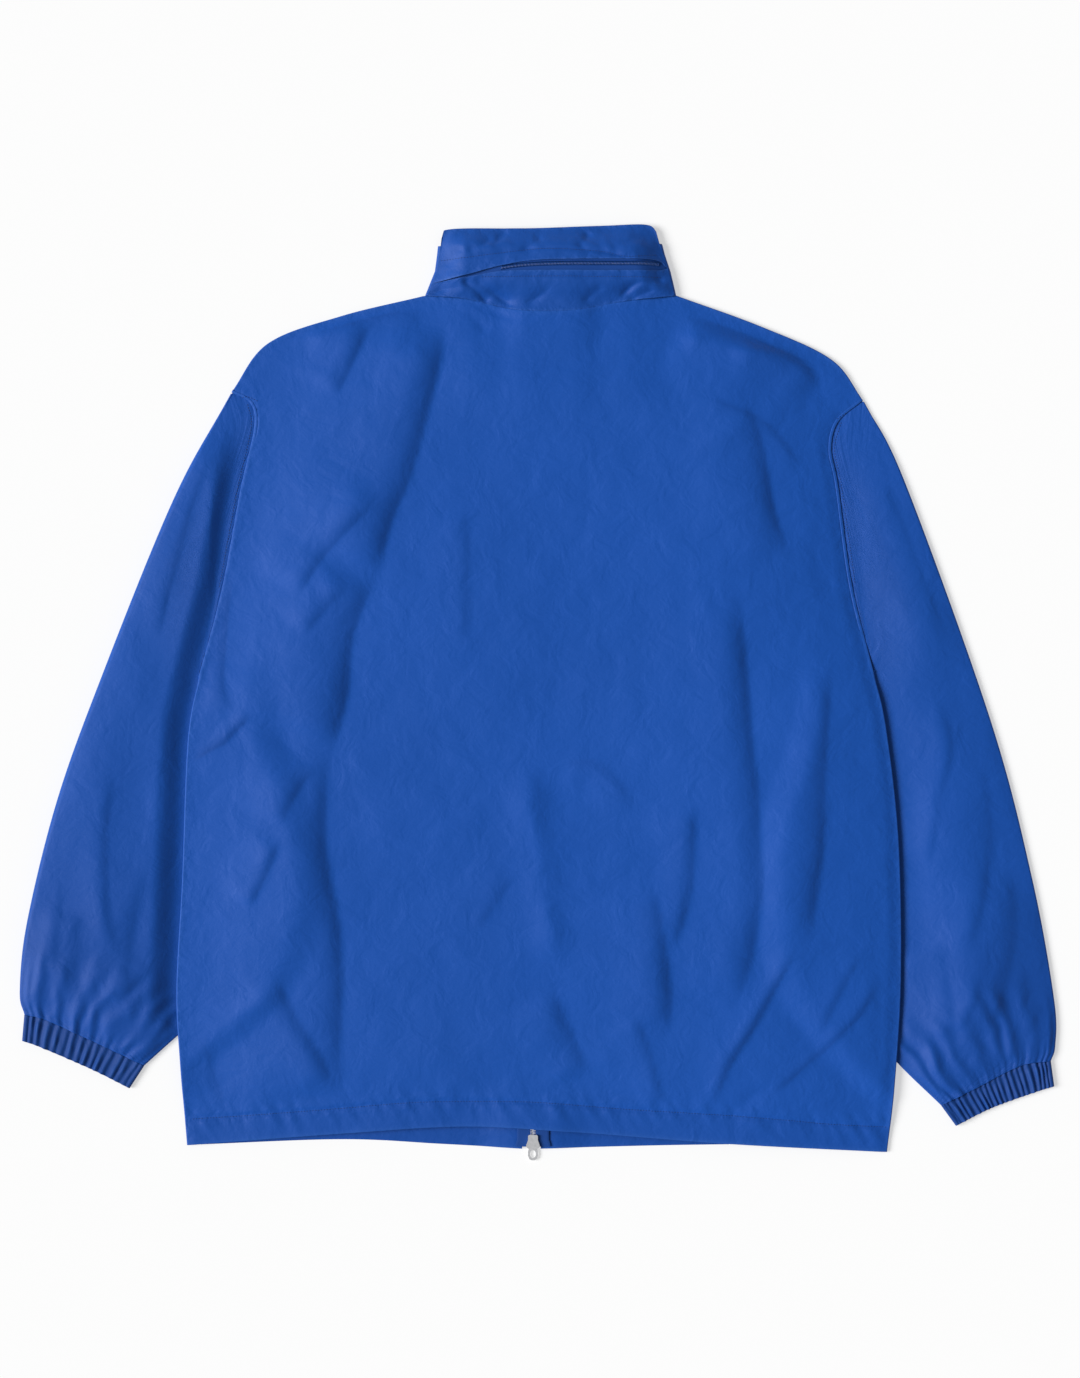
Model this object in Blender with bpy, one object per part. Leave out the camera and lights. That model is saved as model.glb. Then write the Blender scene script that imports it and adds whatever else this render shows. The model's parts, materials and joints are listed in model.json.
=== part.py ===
"""Hooded rain jacket laid flat on a surface with its back up.

Frame: +X to the right of the laid jacket, +Y towards its collar, +Z up; z = 0 is the
surface it lies on. Sizes are in millimetres and turn into metres when a mesh is made.
Every cloth piece is a middle surface in the garment's laid shape with its wall around it.
"""
import bpy
import bmesh
import numpy as np
from math import cos, pi, radians, sin

MM = 0.001

# Driving sizes in millimetres
WALL = 1.0            # cloth, with its turned-in edges
SEAM = 0.3            # space between two pieces at a seam
STACK = WALL + SEAM   # from one layer's middle to the next one's
FOLD = 2.4            # least height of a folded edge, middle to middle
FOLD_SEAM = 0.6       # space between two turned edges that face each other
NECK_SEAM = 0.8       # space at the neck, whose curve both sides follow with straight runs
TUCK_LIFT = 3.6       # how far the body is raised by a sleeve under its side
SLIDER_LIFT = 2.6     # how far a slider raises the fronts round it
SLEEVE_LOFT = 2.6     # air in a sleeve
BACK_LOFT = 1.3       # air under the back
HOOD_BULK = 10.0      # how far the rolled hood raises the collar
INNER_GAP = 1.7       # from the outer collar's middle to the inner one's
TAPE_RISE = 1.2       # how much higher a layer lies over the zip's tape
NECK_LIFT = 2.4       # how far the inner collar raises the back at the neck
EDGE_STEPS = 2        # points round a quarter fold
ARC_STEPS = 4         # points inside a half fold

# Where those heights rise and fall, in millimetres
TUCK_RAMP = (64, 30)       # across, before the sleeve's hidden edge
TUCK_START = (42, -8)      # along, below the underarm
TUCK_LEAVE = (-302, -325)  # y where the left and right sleeves come out again
TUCK_END = (34, 72)        # below that
BUMP_HALF = 17
BUMP_FADE = 34
BUMP_TOP = (376, 400)
ZIP_BEND = (-300, 280)
TAPE_COVER = (22, 48)
AIR_RAMP = (4, 60)
NECK_CENTRE = 11
NECK_SPREAD = (60, 118)
NECK_RAMP = (235, 268)

# Outlines of the laid jacket, x and y in millimetres
SIDE_LEFT = [(-309, -398), (-315, -323), (-318, -260), (-313, -165), (-308, -42), (-298, 15)]
ARM_LEFT = [(-298, 15), (-278, 92), (-262, 178), (-250, 232), (-253, 254), (-270, 264)]
SIDE_RIGHT = [(307, -404), (313, -350), (319, -253), (317, -130), (306, -31), (295, 18)]
ARM_RIGHT = [(295, 18), (276, 96), (264, 182), (258, 214), (264, 238), (286, 257)]
SHOULDER_LEFT = [(-270, 264), (-238, 307), (-174, 331), (-100, 349)]
SHOULDER_RIGHT = [(122, 349), (196, 322), (258, 293), (286, 257)]
NECK_BACK = [(-100, 349), (-63, 346), (-18, 336), (32, 336), (76, 344), (122, 349)]
NECK_FRONT_LEFT = [(-100, 349), (-76, 320), (-36, 298), (5, 292)]
NECK_FRONT_RIGHT = [(14, 292), (55, 299), (98, 322), (122, 349)]
HEM_BACK = [(-309, -398), (-181, -388), (-65, -381), (33, -386), (162, -396), (307, -404)]
HEM_LEFT = [(-309, -398), (-174, -393), (-86, -397), (-14, -401)]
HEM_RIGHT = [(2, -401), (125, -398), (213, -398), (307, -404)]

SLEEVE_LEFT_OUTER = [(-270, 264), (-321, 169), (-385, 11), (-423, -95), (-449, -200), (-456, -262),
                     (-452, -283)]
SLEEVE_LEFT_INNER = [(-299, 15), (-312, -4), (-319, -23), (-315, -42), (-294, -66), (-267, -98),
                     (-250, -140), (-248, -190), (-258, -235), (-283, -273), (-317, -302), (-346, -328)]
WRIST_LEFT = [(-346, -328), (-388, -308), (-432, -288), (-452, -283)]
CUFF_LEFT = [(-359, -348), (-393, -331), (-437, -312), (-454, -306)]
SLEEVE_RIGHT_OUTER = [(286, 257), (322, 187), (398, -24), (435, -165), (454, -270), (455, -310),
                      (451, -324)]
SLEEVE_RIGHT_INNER = [(296, 18), (306, -2), (313, -20), (310, -39), (291, -64), (264, -100),
                      (250, -140), (248, -190), (255, -235), (276, -280), (315, -325), (354, -363)]
WRIST_RIGHT = [(354, -363), (386, -347), (424, -328), (451, -324)]
CUFF_RIGHT = [(367, -381), (399, -365), (435, -352), (454, -346)]

# Rows of a sleeve as shares of its length, close together where it passes under the body
SLEEVE_ROWS = [0.0, 0.025, 0.05, 0.08, 0.12, 0.18, 0.26, 0.35, 0.45, 0.55, 0.65, 0.75, 0.84, 0.92, 1.0]
SLEEVE_TURN = 0.05    # share over which a sleeve leaves the armhole's height
SLEEVE_ACROSS = 11    # points from fold to fold
CUFF_RIBS = 15
CUFF_ROWS = 3
RIB_RISE = 0.3
WRIST_RISE = 3.6      # height of the gathered wrist, middle to middle
FOLD_INNER = FOLD - 0.5    # height of a sleeve's fold under the body
FOLD_SWELL = 1.1      # how much higher the outer fold is

# Collar, x and y in millimetres; the edge columns give x at the left and right fold
COLLAR_Y = [349, 370, 385, 400, 411]
COLLAR_LEFT = [-100, -92, -90, -88, -87]
COLLAR_RIGHT = [122, 117, 110, 105, 103]
COLLAR_ROWS = 4
COLLAR_PART = 6.9     # from the zip's centre line to a band's end
INNER_LOW = 1.5       # how far the inner band stays inside the outer ones, at neck, rim and folds
INNER_HIGH = 1.2
INNER_INSET = 4.5
TOP_BACK = [(-88, 397), (-80, 407), (-5, 407), (92, 411), (103, 400)]
TOP_FRONT = [(-88, 397), (-60, 381), (-20, 370), (9, 368), (40, 370), (80, 382), (103, 400)]
FLAP_BACK = [(-94, 359), (-63, 366), (-32, 374), (4, 379), (76, 380), (108, 380), (118, 373)]
STAND_BACK = [(-94, 358), (-63, 364), (-32, 369), (4, 370), (76, 370), (108, 370), (118, 368)]
BAND_FRONT = [(-94, 358), (-60, 343), (-20, 333), (9, 330), (40, 333), (80, 345), (118, 368)]
NECK_FRONT = NECK_FRONT_LEFT[:-1] + [(9, 292)] + NECK_FRONT_RIGHT[1:]

# Main zip, in millimetres
ZIP_X_HEM = -4.6
ZIP_X_NECK = 9.5
ZIP_END_HEM = -399.0
ZIP_END_NECK = 366.0
TAPE_REACH = 14.0
CHAIN_HALF = 3.2      # width of one side of the chain
CHAIN_RISE = 1.0      # half its thickness
SLIDER_LENGTH = 12.0
SLIDER_NARROW = 4.3   # half widths
SLIDER_WIDE = 5.9
SLIDER_RISE = 2.2     # half its thickness
FLARE_FROM = 4.5      # where along the slider the chain starts to part
FLARE_TO = 9.0
PLATE = 0.9
BRIDGE_AT = 6.2       # pull's axis along the slider
BRIDGE_CLEAR = 1.4
PULL_REACH = 16.7
BOTTOM_SLIDER_Y = -388.5   # its narrow end
TOP_SLIDER_Y = 352.0
AXIS_DROP = SLIDER_RISE + BRIDGE_CLEAR / 2

BLUE = (0.021, 0.095, 0.420, 1.0)
CUFF_BLUE = (0.026, 0.070, 0.260, 1.0)
ZIP_BLUE = (0.015, 0.050, 0.230, 1.0)
SILVER = (0.55, 0.55, 0.60, 1.0)


# ---------------------------------------------------------------- curves and fields
def smooth(start, end, value):
    """0 before start, 1 after end, an even S between."""
    t = np.clip((np.asarray(value, float) - start) / (end - start), 0.0, 1.0)
    return t * t * (3.0 - 2.0 * t)


def curve(points, count):
    """Evenly spaced points along a smooth curve through the given ones."""
    given = np.array(points, float)
    given = np.vstack([2 * given[0] - given[1], given, 2 * given[-1] - given[-2]])
    fine = []
    for a, b, c, d in zip(given, given[1:], given[2:], given[3:]):
        for t in np.linspace(0.0, 1.0, 16, endpoint=False):
            bend = (2 * a - 5 * b + 4 * c - d) * t * t + (3 * b - a - 3 * c + d) * t ** 3
            fine.append(0.5 * (2 * b + (c - a) * t + bend))
    fine = np.array(fine + [given[-2]])
    run = np.concatenate([[0.0], np.cumsum(np.linalg.norm(np.diff(fine, axis=0), axis=1))])
    at = np.linspace(0.0, run[-1], count)
    return np.column_stack([np.interp(at, run, fine[:, 0]), np.interp(at, run, fine[:, 1])])


def joined(*curves):
    """Curves that follow each other, with each shared point kept once."""
    return np.vstack([curves[0]] + [c[1:] for c in curves[1:]])


def read(points, x):
    """y at x on a smooth curve that runs from left to right."""
    line = curve(points, 60)
    return np.interp(x, line[:, 0], line[:, 1])


def patch(bottom, top, left, right):
    """Grid of points filling four boundary curves; rows run from bottom to top."""
    s = np.linspace(0.0, 1.0, len(bottom))[None, :, None]
    t = np.linspace(0.0, 1.0, len(left))[:, None, None]
    across = (1 - t) * bottom[None] + t * top[None]
    along = (1 - s) * left[:, None] + s * right[:, None]
    corners = ((1 - t) * ((1 - s) * bottom[0] + s * bottom[-1])
               + t * ((1 - s) * top[0] + s * top[-1]))
    return across + along - corners


def outward(line, inside):
    """Unit vectors across a curve, pointing away from a point inside the piece."""
    run = np.gradient(line, axis=0)
    normal = np.column_stack([run[:, 1], -run[:, 0]])
    normal /= np.linalg.norm(normal, axis=1)[:, None]
    side = np.sum((line - np.array(inside)) * normal, axis=1)
    return normal * np.sign(np.median(side))


def body_edge(y, left):
    """|x| of the body's side at y, from the hem to the underarm."""
    line = curve(SIDE_LEFT if left else SIDE_RIGHT, 40)
    return np.abs(np.interp(y, line[:, 1], line[:, 0]))


def off_body(x, y, left):
    """Distance in plan from the body's side and armhole, negative under the body."""
    side, arm = (SIDE_LEFT, ARM_LEFT) if left else (SIDE_RIGHT, ARM_RIGHT)
    line = joined(curve(side, 40), curve(arm, 30))
    x, y = np.asarray(x, float), np.asarray(y, float)
    start, step = line[:-1], np.diff(line, axis=0)
    rel = np.stack([x, y], -1)[..., None, :] - start
    t = np.clip(np.sum(rel * step, -1) / np.sum(step * step, -1), 0.0, 1.0)
    near = np.min(np.linalg.norm(rel - t[..., None] * step, axis=-1), axis=-1)
    under = (y < ARM_LEFT[0][1]) & (np.abs(x) < body_edge(y, left))
    return np.where(under, -near, near)


def zip_x(y):
    """Centre line of the main zip."""
    return ZIP_X_HEM + (ZIP_X_NECK - ZIP_X_HEM) * smooth(*ZIP_BEND, y)


def tucked(x, y):
    """1 where a sleeve lies under the body's side, 0 clear of it."""
    total = 0.0
    for left, inner in ((True, SLEEVE_LEFT_INNER[3:]), (False, SLEEVE_RIGHT_INNER[3:])):
        line = np.array(inner[::-1], float)
        reach = np.abs(np.interp(y, line[:, 1], line[:, 0]))
        leave = TUCK_LEAVE[0 if left else 1]
        side = np.where(np.asarray(x) < 0, left, not left)
        over = smooth(reach - TUCK_RAMP[0], reach - TUCK_RAMP[1], np.abs(x))
        below = 1 - smooth(leave - TUCK_END[0], leave - TUCK_END[1], y)
        total = total + side * over * smooth(*TUCK_START, y) * below
    return total


def slider_bump(x, y):
    """1 round both sliders and under the upper one's pull, fading into the cloth."""
    beside = 1 - smooth(BUMP_HALF, BUMP_HALF + BUMP_FADE, np.abs(x - zip_x(y)))
    hem = 1 - smooth(BOTTOM_SLIDER_Y + 6, BOTTOM_SLIDER_Y + 52, y)
    neck = smooth(TOP_SLIDER_Y - 62, TOP_SLIDER_Y - 16, y) * (1 - smooth(*BUMP_TOP, y))
    return beside * (hem + neck)


def front_z(x, y):
    """Middle of the fronts."""
    return WALL / 2 + TUCK_LIFT * tucked(x, y) + SLIDER_LIFT * slider_bump(x, y)


def zip_near(x, y):
    """1 over the zip's tape, 0 away from it."""
    return 1 - smooth(*TAPE_COVER, np.abs(x - zip_x(y)))


def inner_front_z(x, y):
    """Middle of the inner collar's front half, over the outer one and the tape."""
    return front_z(x, y) + INNER_GAP + TAPE_RISE * zip_near(x, y)


def inner_back_z(x, y):
    """Middle of the inner collar's back half."""
    return inner_front_z(x, y) + INNER_GAP


def back_z(x, y):
    """Middle of the back: over the fronts, the sleeves' tucked parts, the zip and the neck."""
    waves = 0.5 + 0.5 * np.sin(x / 46.0 + 0.9 * np.sin(y / 120.0)) * np.cos(y / 170.0 - 0.6)
    air = smooth(*AIR_RAMP, body_reach(x, y)) * BACK_LOFT * (0.95 + 0.9 * waves)
    neck = (1 - smooth(*NECK_SPREAD, np.abs(x - NECK_CENTRE))) * smooth(*NECK_RAMP, y)
    return front_z(x, y) + FOLD + air + neck * (NECK_LIFT + TAPE_RISE * zip_near(x, y))


def body_reach(x, y):
    """Distance in plan from the nearer side, armhole or shoulder, inside the body."""
    sides = np.minimum(np.abs(off_body(x, y, True)), np.abs(off_body(x, y, False)))
    line = joined(curve(SHOULDER_LEFT, 12), curve(NECK_BACK, 12), curve(SHOULDER_RIGHT, 12))
    below = np.interp(x, line[:, 0], line[:, 1]) - y
    return np.minimum(sides, np.maximum(below, 0.0))


# ---------------------------------------------------------------- mesh helpers
def material(name, colour, roughness, metallic=0.0):
    made = bpy.data.materials.get(name)
    if made is None:
        made = bpy.data.materials.new(name)
        made.use_nodes = True
        shader = made.node_tree.nodes["Principled BSDF"]
        shader.inputs["Base Color"].default_value = colour
        shader.inputs["Roughness"].default_value = roughness
        shader.inputs["Metallic"].default_value = metallic
    return made


def new_object(name, mesh, look):
    piece = bpy.data.objects.new(name, mesh)
    bpy.context.scene.collection.objects.link(piece)
    piece.data.materials.append(look)
    return piece


def sheet(name, rows, look, wall=WALL, closed=False):
    """A cloth piece: rows of middle points, joined into a surface and given its wall."""
    bm = bmesh.new()
    verts = [[bm.verts.new(np.array(p) * MM) for p in row] for row in rows]
    for low, high in zip(verts, verts[1:]):
        last = len(low) if closed else len(low) - 1
        for i in range(last):
            j = (i + 1) % len(low)
            bm.faces.new((low[i], low[j], high[j], high[i]))
    mesh = bpy.data.meshes.new(name)
    bm.to_mesh(mesh)
    bm.free()
    mesh.shade_smooth()
    piece = new_object(name, mesh, look)
    wall_mod = piece.modifiers.new("Wall", "SOLIDIFY")
    wall_mod.thickness = wall * MM
    wall_mod.offset = 0.0
    return piece


def prism(name, outline, low, high, look):
    """An outline in x and y, raised from one height to the other."""
    bm = bmesh.new()
    face = bm.faces.new([bm.verts.new((x * MM, y * MM, low * MM)) for x, y in outline])
    if face.normal.z > 0:
        face.normal_flip()
    made = bmesh.ops.extrude_face_region(bm, geom=[face])
    raised = [v for v in made["geom"] if isinstance(v, bmesh.types.BMVert)]
    bmesh.ops.translate(bm, verts=raised, vec=(0, 0, (high - low) * MM))
    bmesh.ops.recalc_face_normals(bm, faces=bm.faces)
    mesh = bpy.data.meshes.new(name)
    bm.to_mesh(mesh)
    bm.free()
    return new_object(name, mesh, look)


def cut(target, tool, operation="DIFFERENCE"):
    """Keep the tool in the file as a guide that isn't part of the jacket."""
    tool.hide_render = True
    tool.display_type = "WIRE"
    tool.parent = target
    step = target.modifiers.new(tool.name, "BOOLEAN")
    step.operation = operation
    step.solver = "EXACT"
    step.object = tool


# ---------------------------------------------------------------- body
def panel(name, bottom, top, left, right, height, turn, folds, look):
    """A body panel whose folded edges turn towards the other side of the body.

    turn is +1 for the back, whose edges turn down, and -1 for a front. folds gives, for
    the left, right and top edges, a weight at each point: 1 folded, 0 a plain seam edge,
    or None for an edge without a rim.
    """
    middle = (np.mean([bottom[0][0], bottom[-1][0]]), 0.0)
    edges = {"left": left, "right": right, "top": top}
    normals = {k: outward(line, middle) for k, line in edges.items()}
    normals["top"] = outward(top, (middle[0], -900.0))
    radius = {}
    flat = {}
    for key, line in edges.items():
        inward = line - normals[key] * 4.0
        depth = (back_z(inward[:, 0], inward[:, 1]) - front_z(inward[:, 0], inward[:, 1]) - FOLD_SEAM) / 2
        radius[key] = depth
        inset = depth * 0 if folds[key] is None else depth + WALL / 2
        flat[key] = line - normals[key] * inset[:, None]
    for key, corner in (("left", 0), ("right", -1)):
        both = flat["top"][corner] + flat[key][-1] - edges[key][-1]
        flat["top"][corner] = flat[key][-1] = both
    base = bottom.copy()
    base[0] = flat["left"][0]
    base[-1] = flat["right"][0]
    grid = patch(base, flat["top"], flat["left"], flat["right"])
    points = np.dstack([grid, height(grid[..., 0], grid[..., 1])])

    def rim(key, index, step):
        """Shift of the rim point at a step from 1 outwards."""
        weight = folds[key][index]
        r = radius[key][index]
        share = step / EDGE_STEPS
        reach = (1 - weight) * share * (r + WALL / 2 - SEAM / 2) + weight * r * sin(share * pi / 2)
        drop = weight * r * (1 - cos(share * pi / 2))
        n = normals[key][index]
        return np.array([n[0] * reach, n[1] * reach, -turn * drop])

    rows = []
    count = len(left)
    tops = EDGE_STEPS if folds["top"] is not None else 0
    for j in range(count + tops):
        row = j if j < count else count - 1
        above = j - count + 1 if j >= count else 0
        line = []
        for i in range(points.shape[1]):
            p = points[row, i].copy()
            if above:
                p = p + rim("top", i, above)
            line.append(p)
        if folds["left"] is not None:
            line = [line[0] + rim("left", row, k) for k in range(EDGE_STEPS, 0, -1)] + line
        if folds["right"] is not None:
            line = line + [line[-1] + rim("right", row, k) for k in range(1, EDGE_STEPS + 1)]
        rows.append(line)
    return sheet(name, rows, look)


def make_body(look):
    side_left = joined(curve(SIDE_LEFT, 13), curve(ARM_LEFT, 11))
    side_right = joined(curve(SIDE_RIGHT, 13), curve(ARM_RIGHT, 11))
    side_fold = np.array([1.0] * 12 + [0.5] + [0.0] * 10)
    shoulders = (curve(SHOULDER_LEFT, 8), curve(SHOULDER_RIGHT, 8))
    neck = curve(NECK_BACK, 12)
    top = joined(shoulders[0], neck, shoulders[1])
    top_fold = np.array([0.5] + [1.0] * 6 + [0.0] * 12 + [1.0] * 6 + [0.5])
    hem = curve(HEM_BACK, len(top))
    panel("back", hem, top, side_left, side_right, back_z, 1,
          {"left": side_fold, "right": side_fold, "top": top_fold}, look)

    for left in (True, False):
        side = side_left if left else side_right
        y = np.linspace(HEM_LEFT[-1][1], NECK_FRONT_LEFT[-1][1], len(side))
        sign = -1 if left else 1
        notch = (9.5 if left else 6.9) - 4.2
        near = 1 - smooth(BOTTOM_SLIDER_Y, BOTTOM_SLIDER_Y + 20, y)
        centre = np.column_stack([zip_x(y) + sign * (4.2 + notch * near), y])
        shoulder = shoulders[0 if left else 1]
        if left:
            top = joined(shoulder, curve(NECK_FRONT_LEFT, 9))
            fold = np.array([0.5] + [1.0] * 6 + [0.0] * 9)
            hem = curve(HEM_LEFT, len(top))
            edges = (side, centre)
            folds = {"left": side_fold, "right": None, "top": fold}
        else:
            top = joined(curve(NECK_FRONT_RIGHT, 9), shoulder)
            fold = np.array([0.0] * 9 + [1.0] * 6 + [0.5])
            hem = curve(HEM_RIGHT, len(top))
            edges = (centre, side)
            folds = {"left": None, "right": side_fold, "top": fold}
        centre[0] = hem[-1] if left else hem[0]
        centre[-1] = top[-1] if left else top[0]
        panel("front_left" if left else "front_right", hem, top, *edges, front_z, -1, folds, look)


# ---------------------------------------------------------------- sleeves and cuffs
def between(first, last, share):
    """Points on the straight line between two, one for each share of it."""
    return first + np.outer(share, last - first)


def near_end(line, index, inset):
    """1 at one end of a line, 0 a few insets away from it."""
    return np.clip(1 - np.linalg.norm(line - line[index], axis=1) / (4 * inset), 0.0, 1.0)


def tube(name, start, end, inner, outer, shares, top_height, low_height, look, wave=None):
    """A flattened tube: plan between four curves, a low layer, a top one and two folds."""
    share = np.linspace(0.0, 1.0, len(start))
    rows = []
    for along, first_end, last_end in zip(shares, inner, outer):
        line = (between(first_end, last_end, share)
                + (1 - along) ** 6 * (start - between(start[0], start[-1], share))
                + along ** 6 * (end - between(end[0], end[-1], share)))
        first = (line[1] - line[0]) / np.linalg.norm(line[1] - line[0])
        last = (line[-1] - line[-2]) / np.linalg.norm(line[-1] - line[-2])
        heights = top_height(line[:, 0], line[:, 1], share, along)
        lows = low_height(line[:, 0], line[:, 1], along)
        ends = (heights[[0, -1]] - lows[[0, -1]]) / 2
        insets = ends + WALL / 2
        flat = (line + np.outer(near_end(line, 0, insets[0]), first * insets[0])
                - np.outer(near_end(line, -1, insets[1]), last * insets[1]))
        ripple = wave(share) if wave else 0 * share
        ring = [(x, y, z + r) for (x, y), z, r in zip(flat, lows, ripple)]
        for k in range(1, ARC_STEPS + 1):
            turn = pi * k / (ARC_STEPS + 1)
            reach = last * ends[1] * sin(turn)
            ring.append((*(flat[-1] + reach), lows[-1] + ends[1] * (1 - cos(turn))))
        upper = [(x, y, z - r) for (x, y), z, r in zip(flat, heights, ripple)]
        ring += upper[::-1]
        for k in range(1, ARC_STEPS + 1):
            turn = pi * k / (ARC_STEPS + 1)
            reach = -first * ends[0] * sin(turn)
            ring.append((*(flat[0] + reach), lows[0] + ends[0] * (1 + cos(turn))))
        rows.append(ring)
    return sheet(name, rows, look, closed=True)


def sleeve_height(left):
    """Height of a sleeve's top layer, for one side."""
    wrist = WALL / 2 + WRIST_RISE

    def height(x, y, share, along):
        off = off_body(x, y, left)
        air = smooth(3, 46, off) * smooth(0.0, 0.3, share) * (1 - share ** 6)
        own = WALL / 2 + FOLD_INNER + FOLD_SWELL * smooth(0.6, 1.0, share) + SLEEVE_LOFT * air
        inside = -1 if left else 1
        mixed = own + (back_z(x - inside * 3.0, y) - own) * (1 - smooth(0.0, SLEEVE_TURN, along))
        return mixed + (wrist - mixed) * smooth(0.86, 1.0, along)

    return height


def sleeve_low(x, y, along):
    """Height of a sleeve's low layer, which leaves the front's edge for the surface."""
    return WALL / 2 + (front_z(x, y) - WALL / 2) * (1 - smooth(0.0, SLEEVE_TURN, along))


def cuff_low(x, y, along):
    return WALL / 2 + 0 * x


def cuff_high(x, y, share, along):
    return WALL / 2 + WRIST_RISE + 0 * x


def rib_wave(share):
    return RIB_RISE * (1 - np.cos(2 * pi * CUFF_RIBS * share))


def inner_share(rows):
    """How far down its inner edge a sleeve's row starts: the rows fan out of the underarm."""
    return rows - 0.25 * rows * (1 - rows)


def outer_share(rows):
    """How far down its outer edge a sleeve's row ends."""
    return rows + 0.55 * rows ** 0.6 * (1 - rows) ** 1.5


def at_shares(points, shares):
    """Points at shares of the length of a smooth curve."""
    fine = curve(points, 241)
    even = np.linspace(0.0, 1.0, len(fine))
    return np.column_stack([np.interp(shares, even, fine[:, 0]), np.interp(shares, even, fine[:, 1])])


def shifted(line, inside, distance, at_ends=0.0):
    """A curve moved away from a point by a distance across itself, and more at its ends."""
    share = np.linspace(0.0, 1.0, len(line))
    more = at_ends * (share ** 8 + (1 - share) ** 8)
    return line + outward(line, inside) * (distance + more)[:, None]


def make_sleeves(look, cuff_look):
    tables = {
        "left": (ARM_LEFT, SLEEVE_LEFT_INNER, SLEEVE_LEFT_OUTER, WRIST_LEFT, CUFF_LEFT, True),
        "right": (ARM_RIGHT, SLEEVE_RIGHT_INNER, SLEEVE_RIGHT_OUTER, WRIST_RIGHT, CUFF_RIGHT, False),
    }
    for side, (arm, inner, outer, wrist, cuff, left) in tables.items():
        start = shifted(curve(arm, SLEEVE_ACROSS), (0, 100), SEAM / 2, SEAM * 3)
        end = curve(wrist, SLEEVE_ACROSS)
        rows = np.array(SLEEVE_ROWS)
        inner_line = at_shares(inner, inner_share(rows))
        outer_line = at_shares(outer, outer_share(rows))
        inner_line[0], outer_line[0] = start[0], start[-1]
        tube(f"sleeve_{side}", start, end, inner_line, outer_line, rows, sleeve_height(left), sleeve_low,
             look)

        points = CUFF_RIBS * 3 + 1
        begin = shifted(curve(wrist, points), (0, 100), SEAM)
        finish = curve(cuff, points)
        inner_side = np.linspace(begin[0], finish[0], CUFF_ROWS)
        outer_side = np.linspace(begin[-1], finish[-1], CUFF_ROWS)
        tube(f"cuff_{side}", begin, finish, inner_side, outer_side, np.linspace(0, 1, CUFF_ROWS),
             cuff_high, cuff_low, cuff_look, wave=rib_wave)


# ---------------------------------------------------------------- collar
def collar_top_z(x, y):
    """Middle of the outer collar's back half, raised by the rolled hood."""
    left = np.interp(y, COLLAR_Y, COLLAR_LEFT)
    right = np.interp(y, COLLAR_Y, COLLAR_RIGHT)
    inside = np.minimum(x - left, right - x)
    across = smooth(-2, 30, inside)
    along = smooth(338, 364, y) * (1 - 0.9 * smooth(389, 410, y))
    base = inner_back_z(x, y) + 1.5
    return base + across * along * (HOOD_BULK - 0.7 * (base - 5.4))


def collar_band(name, low_back, high_back, low_front, high_front, inset, top_z, low_z, look):
    """A C-shaped band: from the zip round one fold, across the back, round to the zip."""
    path = [("front_left", s) for s in np.linspace(0.0, 1.0, 7)]
    path += [("fold_left", k / 5) for k in range(1, 5)]
    path += [("back", s) for s in np.linspace(0.0, 1.0, 17)]
    path += [("fold_right", k / 5) for k in range(1, 5)]
    path += [("front_right", s) for s in np.linspace(0.0, 1.0, 7)]
    grid = []
    for share in np.linspace(0.0, 1.0, COLLAR_ROWS):
        line = []
        for part, s in path:
            line.append(collar_point(part, s, share, low_back, high_back, low_front, high_front,
                                     inset, top_z, low_z))
        grid.append(line)
    return sheet(name, grid, look)


def collar_point(part, s, share, low_back, high_back, low_front, high_front, inset, top_z, low_z):
    """One middle point of a collar band."""
    def mix(low, high, x):
        """y at x, between the band's two edges."""
        return read(low, x) * (1 - share) + read(high, x) * share

    def edge(left):
        """The band's fold on one side, as x and y."""
        x = COLLAR_LEFT[0] if left else COLLAR_RIGHT[0]
        for _ in range(4):
            y = mix(low_back, high_back, x)
            x = np.interp(y, COLLAR_Y, COLLAR_LEFT if left else COLLAR_RIGHT)
        return x + (inset if left else -inset), y

    (xl, yl), (xr, yr) = edge(True), edge(False)
    rl = (top_z(xl + 3, yl) - low_z(xl + 3, yl)) / 2
    rr = (top_z(xr - 3, yr) - low_z(xr - 3, yr)) / 2
    start, end = xl + rl + WALL / 2, xr - rr - WALL / 2
    if part == "back":
        x = start + (end - start) * s
        y = mix(low_back, high_back, x)
        return x, y, top_z(x, y)
    if part == "front_left":
        y = mix(low_front, high_front, ZIP_X_NECK)
        x = (zip_x(y) - COLLAR_PART) * (1 - s) + start * s
        y = mix(low_front, high_front, x) * (1 - s ** 8) + yl * s ** 8
        return x, y, low_z(x, y)
    if part == "front_right":
        y = mix(low_front, high_front, ZIP_X_NECK)
        x = end * (1 - s) + (zip_x(y) + COLLAR_PART) * s
        y = mix(low_front, high_front, x) * (1 - (1 - s) ** 8) + yr * (1 - s) ** 8
        return x, y, low_z(x, y)
    if part == "fold_left":
        angle = pi * s
        base = low_z(start, yl)
        r = (top_z(start, yl) - base) / 2
        return start - rl * sin(angle), yl, base + r * (1 - cos(angle))
    angle = pi * s
    base = low_z(end, yr)
    r = (top_z(end, yr) - base) / 2
    return end + rr * sin(angle), yr, base + r * (1 + cos(angle))


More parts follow.
